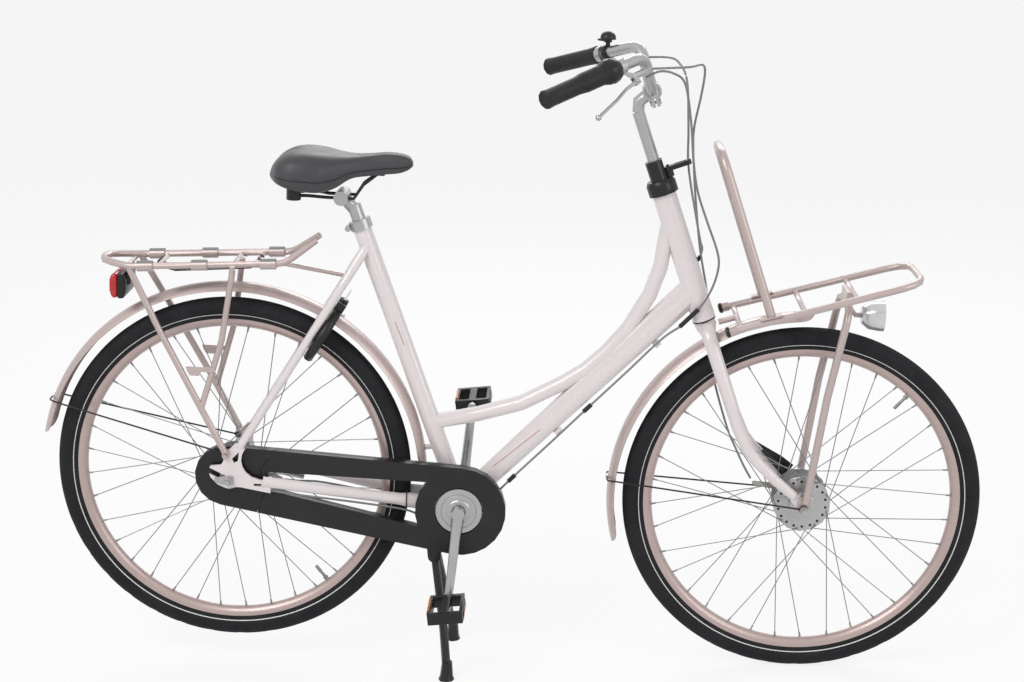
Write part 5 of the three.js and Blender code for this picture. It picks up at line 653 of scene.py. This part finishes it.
wheel_rim("rim_laced_front", "front_rim", WHEEL_BASE, FLANGES["front"], 50, "front_wheel")
wheel_rim("rim_laced_rear", "rear_rim", 0.0, FLANGES["rear"], -50, "rear_wheel")


# Saddle: a padded cover with a drawn-in skirt, a sewn seam and a nose

SADDLE_REAR, SADDLE_LENGTH, SADDLE_WIDTH = 66, 268, 176
SADDLE_STATIONS = [
    (0, 0.3, 603, 597), (0.02, 0.5, 618, 592), (0.07, 0.82, 634, 587), (0.15, 0.98, 645, 581),
    (0.25, 1, 649, 577), (0.37, 0.93, 647, 576), (0.47, 0.72, 643, 583), (0.58, 0.47, 641, 600),
    (0.7, 0.33, 643.5, 605), (0.82, 0.28, 647.5, 609), (0.91, 0.25, 646.5, 612), (0.97, 0.2, 642, 618),
    (1, 0.1, 632, 624),
]
CROWN = [(0, 0.965), (0.15, 0.985), (0.3, 1), (0.46, 0.99), (0.6, 0.97), (0.74, 0.92), (0.84, 0.85),
         (0.92, 0.75), (0.965, 0.64), (0.985, 0.52), (1, 0.42), (0.99, 0.3), (0.97, 0.2), (0.94, 0.1),
         (0.9, 0.04), (0.83, 0.0)]
SADDLE_STEPS = 72
GROOVE_DEPTH = 1.6
SEAM_POINT = 11


def saddle():
    """The saddle's cover; returns its rings, from the rear to the nose."""
    stations = list(zip(*SADDLE_STATIONS))
    rings = []
    for step in range(SADDLE_STEPS + 1):
        position = (len(SADDLE_STATIONS) - 1) * step / SADDLE_STEPS
        share, wide, top, low = (curve_through(column, position) for column in stations)
        x = SADDLE_REAR + share * SADDLE_LENGTH
        half = max(SADDLE_WIDTH / 2 * wide, 3.0)
        height = max(top - low, 3.0)
        groove = GROOVE_DEPTH * math.exp(-((share - 0.5) / 0.3) ** 2)
        line = []
        for out, rise in CROWN:
            pull = groove * math.exp(-(out * half / (half * 0.16)) ** 2)
            line.append((out * half, low + rise * height - pull))
        ring = [row(x, y, z) for y, z in line] + [row(x, -y, z) for y, z in reversed(line[1:])]
        rings.append(ring)
    points = len(rings[0])
    vertices = [v for ring in rings for v in ring]
    faces = grid_faces(len(rings), points)
    faces.append(tuple(range(points)))
    faces.append(tuple((len(rings) - 1) * points + k for k in reversed(range(points))))
    made = piece("saddle_top", vertices, faces, finish["saddle_skin"], "seat", 70)
    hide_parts("saddle_cover")
    return rings


saddle_rings = saddle()[3:-3]
seam = [ring[SEAM_POINT] for ring in saddle_rings]
seam += [ring[-SEAM_POINT] for ring in reversed(saddle_rings)]
tube_piece("saddle_piping", seam, 0.0011, finish["black_plastic"], "seat", 6, closed=True)


# Mudguards: thin curved skins with tapered ends, each held by a black wire

GUARD_RADIUS, GUARD_EDGE, GUARD_HALF, GUARD_WALL = 382.0, 368.0, 26.0, 1.5
GUARD_STRIPS, GUARD_STEPS_PER_DEG = 18, 1.2
GUARD_TAPER_DEG, GUARD_TIP = 4.5, 0.45
GUARD_WIRE, WIRE_GAP, WIRE_BEND = 1.7, 0.3, 0.012
EYE_STEPS = 20
SCREW_SINK = 2.6
SCREW_PROFILE = [(0, 8.6), (2.4, 8.4), (4.2, 7.2), (4.6, 5.6), (4.6, 3.6), (0, 3.6)]


def mudguard(name, node, hub_x, from_deg, to_deg, body):
    rise = GUARD_RADIUS - GUARD_EDGE
    curve = (GUARD_HALF ** 2 + rise ** 2) / (2 * rise)
    span = math.asin(GUARD_HALF / curve)
    steps = int((to_deg - from_deg) * GUARD_STEPS_PER_DEG)
    vertices = []
    for step in range(steps + 1):
        deg = from_deg + (to_deg - from_deg) * step / steps
        near_end = min(deg - from_deg, to_deg - deg) / GUARD_TAPER_DEG
        share = GUARD_TIP + (1 - GUARD_TIP) * math.sqrt(max(0.0, 1 - max(0.0, 1 - near_end) ** 2))
        for radius, way in ((curve, 1), (curve - GUARD_WALL, -1)):
            for k in range(GUARD_STRIPS + 1):
                angle = span * share * way * (2 * k / GUARD_STRIPS - 1)
                height = GUARD_RADIUS - curve + radius * math.cos(angle)
                vertices.append(by_wheel(hub_x, height, deg, radius * math.sin(angle)))
    points = 2 * (GUARD_STRIPS + 1)
    base = steps * points
    faces = [tuple(reversed(f)) for f in grid_faces(steps + 1, points)]
    for k in range(GUARD_STRIPS):
        far, near = points - 1 - k, points - 2 - k
        faces.append((k + 1, k, far, near))
        faces.append((base + k, base + k + 1, base + near, base + far))
    made = piece(name, vertices, faces, finish["rose_paint"], body, 40)
    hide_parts(node)


def guard_stay(name, hub_x, angle_deg, foot, eye_radius, body):
    across = GUARD_HALF + GUARD_WIRE + WIRE_GAP
    half = [row(*foot), by_wheel(hub_x, GUARD_EDGE, angle_deg, across),
            by_wheel(hub_x, GUARD_RADIUS + GUARD_WIRE + WIRE_GAP, angle_deg, across)]
    other = [Vector((p.x, -p.y, p.z)) for p in reversed(half)]
    line = rounded(half + other, WIRE_BEND)
    black = finish["black_paint"]
    tube_piece(name, line, GUARD_WIRE / 1000, black, body, 10)
    for side, label in SIDES:
        reach = eye_radius + GUARD_WIRE
        eye = [row(foot[0] + reach * math.cos(a), side * foot[1], foot[2] + reach * math.sin(a))
               for a in (2 * math.pi * k / EYE_STEPS for k in range(EYE_STEPS))]
        tube_piece(f"{name}_eye_{label}", eye, GUARD_WIRE / 1000, black, body, 8,
                   closed=True)
    hub = row(hub_x, 0, 0)
    outward = (by_wheel(hub_x, GUARD_RADIUS, angle_deg) - hub).normalized()
    lathe(f"{name}_screw", SCREW_PROFILE, hub + outward * (GUARD_RADIUS - SCREW_SINK) / 1000, outward, 20,
          finish["bright_steel"], body)


mudguard("mudguard_skin_front", "mudguard_front", WHEEL_BASE, 91, 196, "steering")
mudguard("mudguard_skin_rear", "mudguard_rear", 0.0, 4, 171, "frame_body")
guard_stay("guard_stay_front", WHEEL_BASE, 176, (WHEEL_BASE, 61.0, 0), 5.3, "steering")
guard_stay("guard_stay_rear", 0.0, 160, (-5.74, 63.3, 50.84), 2.6, "frame_body")


# Cables: smooth curves along the routes of the solids

CABLES = {
    "front_brake_cable": ("steering", [
        (835, -120, 850), (858, -100, 853), (866, -80, 838), (864, -56, 792), (858, -20, 729),
        (862, 25, 684), (868, 52, 640), (876, 60, 580), (892, 62, 480), (914, 58, 380), (928, 64, 262),
        (944, 64, 200), (972, 58, 120), (990, 48, 84), (1008, 43, 50), (1024, 43, 24)]),
    "rear_brake_cable": ("frame_body", [
        (806, 60, 846), (826, 42, 838), (842, 26, 806), (850, 18, 720), (853, 16, 664), (861, 11, 616),
        (874, 4, 560), (886, 0, 510), (891, 0, 494), (888, 0, 478)]),
    "gear_cable": ("frame_body", [
        (758, -112, 826), (782, -108, 838), (809, -94, 834), (833, -66, 812), (850, -42, 740),
        (860, -36, 667), (872, -33, 610), (893, -31, 555), (916, -31, 500), (922, -31, 468),
        (914, -31, 428), (896, -29, 390), (868, -22, 352), (826, -14, 316), (760, -12, 243),
        (691, -12, 168.5), (620, -12, 91), (548, -13, 14), (520, -14, -18), (486, -16, -58),
        (450, -18, -70), (424, -20, -69), (400, -22, -68.5), (374, -24, -67), (344, -27, -57),
        (300, -34, -49), (220, -45, -38), (150, -55, -29), (100, -61.6, -22), (60, -62.6, -16),
        (22, -62.6, -12)]),
    "lower_brake_cable": ("frame_body", [
        (452, 14, -67.8), (424, 20, -68), (400, 22, -68.5), (374, 24, -67), (344, 27, -57),
        (300, 32, -50), (220, 41, -40), (160, 48, -35), (120, 55, -38), (90, 58.8, -38)]),
}
CABLE_RADIUS, CABLE_SIDES, CABLE_STEPS = 0.0022, 12, 7
BARREL_LEAD = 0.013
END_REACH, RING_REACH = 0.09, 0.0052
FORK_POINT = row(862, 25, 684)
# Heights where a cable leaves the turning bar, and where the frame holds it
BAR_HEIGHT = row(855, 0, 690).z
STOP_HEIGHT = row(880, 0, 500).z


def end_of(node, near):
    """The middle of the solid cable's farthest ring behind a point, no farther than END_REACH from it."""
    points = [v.co.copy() for v in nodes[node].data.vertices]
    behind = [p for p in points if (p - near).length < END_REACH and p.x < near.x]
    tip = max(behind, key=lambda p: (p - near).length)
    ring = [p for p in points if (p - tip).length < RING_REACH]
    return sum(ring, Vector()) / len(ring)


for name, (body, route) in CABLES.items():
    points = [row(*p) for p in route]
    if name in ("front_brake_cable", "rear_brake_cable"):
        tip = end_of(name, points[0])
        points = [tip, tip + (points[0] - tip).normalized() * BARREL_LEAD] + points
    columns = list(zip(*points))
    spans = len(points) - 1
    count = spans * CABLE_STEPS
    path = [Vector([curve_through(column, spans * k / count) for column in columns])
            for k in range(count + 1)]
    if name == "lower_brake_cable":
        parts = [("smooth", path, None)]
    elif body == "steering":
        parts = [("smooth", path, ("stem_body", "steering", path[0], FORK_POINT))]
    else:
        bar = min(range(count), key=lambda k: abs(path[k].z - BAR_HEIGHT))
        stop = min(range(bar, count), key=lambda k: abs(path[k].z - STOP_HEIGHT))
        parts = [("smooth_upper", path[:bar + 1], ("stem_body", "steering", path[0], path[bar])),
                 ("smooth_lower", path[bar:], ("steering", "frame_body", path[bar], path[stop]))]
    for label, line, joint in parts:
        cable = tube_piece(f"{name}_{label}", line, CABLE_RADIUS, finish["cable_grey"],
                           None if joint else body, CABLE_SIDES)
        if joint:
            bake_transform(cable)
        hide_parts(name)


# A turned face on the disc of the right crank

BRACKET = Vector((-0.1001, 0.0, 0.33855))
OUTWARD = Vector((0, -1, 0))
DISC_PROFILE = [(45.6, 56.9), (45.6, 58.4), (45.0, 59.2), (43.6, 59.5), (35.4, 59.5), (34.8, 58.9),
                (33.6, 58.8), (33.0, 59.6), (32.2, 60.0), (24.5, 60.4), (23.4, 60.2), (21.8, 61.4),
                (14.0, 62.0)]
lathe("crank_disc_face", DISC_PROFILE, BRACKET, OUTWARD, 96, finish["silver_alloy"], "crank",
      25)


# Small fittings

STAY_X, STAY_Y, STAY_Z = 345.0, -26.5, -36.3
STAY_HALF_WIDTH, STAY_HALF_HEIGHT = 8.6, 17.4
BAND_STEPS = 28
band = [row(STAY_X, STAY_Y + STAY_HALF_WIDTH * math.cos(a), STAY_Z + STAY_HALF_HEIGHT * math.sin(a))
        for a in (2 * math.pi * k / BAND_STEPS for k in range(BAND_STEPS))]
tube_piece("stay_tie_band", band, 0.0012, finish["strap_rubber"], "frame_body", 8,
           closed=True)

for name, start, end, radius in (
    ("cable_clip_upper", (697.5, -12, 175.5), (683.5, -12, 160.5), 4.6),
    ("cable_clip_lower", (556, -12.9, 22.9), (543.5, -13.1, 9.0), 4.6),
    ("cable_guide", (890, -28.2, 381), (858, -20.2, 343.5), 4.4),
):
    steps = [row(*start).lerp(row(*end), t) for t in (0, 0.08, 0.5, 0.92, 1)]
    tube_piece(name, steps, radius / 1000, finish["black_plastic"], "frame_body", 12)

entry = [row(887.75, 0, 479), row(886, 0, 474), row(872, 0, 464), row(858, 0, 458)]
tube_piece("cable_entry_plug", entry, 0.0046, finish["black_plastic"], "frame_body", 14)

# Plate outlines, ahead of and above a hub
BAG_PLATE = [(-82, 229), (-79.3, 220), (-73.6, 211.5), (-56.5, 211.5), (-52.7, 220), (-26, 220),
             (-26, 229)]
ARM_PLATE = [(-93, 104), (-76, 87), (-48, 58), (-24, 42), (-14, 58), (-38, 75)]
BAG_PLATE_SIDE, ARM_PLATE_SIDE = 80.5, 38
PLATE, PLATE_CHAMFER = 2.4, 0.4
for side, label in SIDES:
    plate_piece(f"carrier_bag_plate_{label}", BAG_PLATE, row(0, side * BAG_PLATE_SIDE, 0), AHEAD, LIFT,
                SIDE, PLATE, PLATE_CHAMFER, "rose_paint", "frame_body")
plate_piece("brake_reaction_plate", ARM_PLATE, row(WHEEL_BASE, ARM_PLATE_SIDE, 0), AHEAD, LIFT, SIDE,
            PLATE, PLATE_CHAMFER, "black_paint", "steering")

CAP_PROFILE = [(9.0, -2), (10.4, -1), (10.4, 1.5), (9.4, 4.2), (6.6, 5.8), (0, 6.4)]
RAIL_BACK = Vector((-0.9636, 0, -0.2672))
STRUT_SIDE, STRUT_RADIUS = 78, 0.0052
for side, label in SIDES:
    lathe(f"rail_cap_{label}", CAP_PROFILE, Vector((0.4125, side * 0.095, 0.715)), RAIL_BACK, 28,
          finish["black_plastic"], "steering")
    strut = [row(3.6, side * STRUT_SIDE, 415.4), row(5.4, side * STRUT_SIDE, 429.0)]
    tube_piece(f"strut_top_{label}", strut, STRUT_RADIUS, finish["rose_paint"], "frame_body",
               14)


# Reflectors let into both edges of each pedal, and the drilled edge of the front hub, its holes shown as
# black discs of painted shade

PEDAL_TILT = math.radians(8)
PEDAL_UP = Vector((math.sin(PEDAL_TILT), 0, math.cos(PEDAL_TILT)))
PEDAL_OUT = Vector((math.cos(PEDAL_TILT), 0, -math.sin(PEDAL_TILT)))
PEDAL_REACH = 0.0345
PEDALS = (("right", "pedal_right_body", Vector((-0.11975, -0.1455, 0.1697))),
          ("left", "pedal_left_body", Vector((-0.08045, 0.1455, 0.5074))))
CORNER_X, CORNER_Y, CORNER_RADIUS = 27, 3.5, 3
REFLECTOR_DEPTH, REFLECTOR_CHAMFER = 4.0, 0.5
REFLECTOR = [(CORNER_X * x + CORNER_RADIUS * math.cos(math.radians(start + 22.5 * k)),
              CORNER_Y * y + CORNER_RADIUS * math.sin(math.radians(start + 22.5 * k)))
             for x, y, start in ((1, 1, 0), (-1, 1, 90), (-1, -1, 180), (1, -1, 270))
             for k in range(5)]
for label, body, middle in PEDALS:
    for way, edge in ((1, "front"), (-1, "rear")):
        plate_piece(f"reflector_{label}_{edge}", REFLECTOR, middle + PEDAL_OUT * way * PEDAL_REACH,
                    SIDE, PEDAL_UP, PEDAL_OUT, REFLECTOR_DEPTH, REFLECTOR_CHAMFER, "reflector_amber",
                    body)

# Painted shade: black discs just proud of both flange faces of the front hub stand for the dark inside of
# drilled holes.
HOLE_SHADES, HOLE_SHADE_STEPS = 18, 16
HOLE_SHADE_RING, HOLE_SHADE_RADIUS = 46.5, 0.0027
HOLE_SHADE_ENDS = (27.0, 28.15)
vertices, faces = [], []
for side in (1, -1):
    for k in range(HOLE_SHADES):
        angle_deg = SPOKE_PHASE_DEG + 10 + 360 * k / HOLE_SHADES
        faces += rod_faces(2, HOLE_SHADE_STEPS, len(vertices))
        ends = [by_wheel(WHEEL_BASE, HOLE_SHADE_RING, angle_deg, side * across) for across in HOLE_SHADE_ENDS]
        vertices += ring_round(ends, [HOLE_SHADE_RADIUS] * 2, HOLE_SHADE_STEPS)
piece("hub_hole_shade_discs", vertices, faces, finish["black_paint"], "front_wheel", 40)


# Floor, light and world

def seen_directly(tree):
    """1 for the rays that show a surface itself: from the camera, off a glossy face or through glass."""
    rays = tree.nodes.new("ShaderNodeLightPath")
    seen = rays.outputs["Is Camera Ray"]
    for kind in ("Is Glossy Ray", "Is Transmission Ray"):
        most = tree.nodes.new("ShaderNodeMath")
        most.operation = "MAXIMUM"
        tree.links.new(seen, most.inputs[0])
        tree.links.new(rays.outputs[kind], most.inputs[1])
        seen = most.outputs[0]
    return seen


FLOOR_GLOW = 0.84


def stage_plane(name, size, colour):
    mesh = bpy.data.meshes.new(name)
    half = size / 2
    corners = [(-half, -half, 0), (half, -half, 0), (half, half, 0), (-half, half, 0)]
    mesh.from_pydata(corners, [], [(0, 1, 2, 3)])
    made = bpy.data.objects.new(name, mesh)
    bpy.context.scene.collection.objects.link(made)
    shader = Shader(name + "_finish", 0.0, 0.0, 0.2)
    slow = shader.noise(0.7, 3.0)
    shader.link(shader.ramp(slow, toned(colour, 0.985), toned(colour, 1.01), 0.3, 0.7),
                shader.bsdf.inputs["Base Color"])
    shader.link(shader.spread(slow, 0.75, 0.85), shader.bsdf.inputs["Roughness"])
    pale = shader.node("ShaderNodeEmission")
    pale.inputs["Color"].default_value = (0.985, 0.985, 0.99, 1)
    pale.inputs["Strength"].default_value = 1.0
    blend = shader.node("ShaderNodeMixShader")
    shader.link(shader.sum_of("MULTIPLY", seen_directly(shader.tree), FLOOR_GLOW), blend.inputs[0])
    shader.link(shader.bsdf.outputs[0], blend.inputs[1])
    shader.link(pale.outputs[0], blend.inputs[2])
    shader.link(blend.outputs[0], shader.tree.nodes["Material Output"].inputs["Surface"])
    mesh.materials.append(shader.material)


stage_plane("floor", 60, (0.86, 0.86, 0.855))


def area_light(name, place, target, size, power):
    data = bpy.data.lights.new(name, "AREA")
    data.shape = "RECTANGLE"
    data.size, data.size_y = size
    data.energy = power
    made = bpy.data.objects.new(name, data)
    made.location = place
    made.rotation_euler = (Vector(target) - Vector(place)).to_track_quat("-Z", "Y").to_euler()
    bpy.context.scene.collection.objects.link(made)


area_light("key", (-2.2, -2.6, 3.4), (0, 0, 0.5), (2.6, 2.0), 82)
area_light("fill", (3.2, -2.4, 2.2), (0, 0, 0.5), (2.4, 2.4), 36)
area_light("rim_light", (0.4, 3.2, 3.0), (0, 0, 0.6), (3.0, 1.6), 60)

world = bpy.data.worlds.new("world")
bpy.context.scene.world = world
world.use_nodes = True
tree = world.node_tree
background = tree.nodes["Background"]
background.inputs["Color"].default_value = (0.93, 0.935, 0.94, 1)
background.inputs["Strength"].default_value = 0.62
seen = tree.nodes.new("ShaderNodeBackground")
seen.inputs["Color"].default_value = (0.95, 0.95, 0.955, 1)
seen.inputs["Strength"].default_value = 1.0
mix = tree.nodes.new("ShaderNodeMixShader")
tree.links.new(seen_directly(tree), mix.inputs[0])
tree.links.new(background.outputs[0], mix.inputs[1])
tree.links.new(seen.outputs[0], mix.inputs[2])
tree.links.new(mix.outputs[0], tree.nodes["World Output"].inputs["Surface"])

bpy.context.scene.view_settings.view_transform = "Standard"
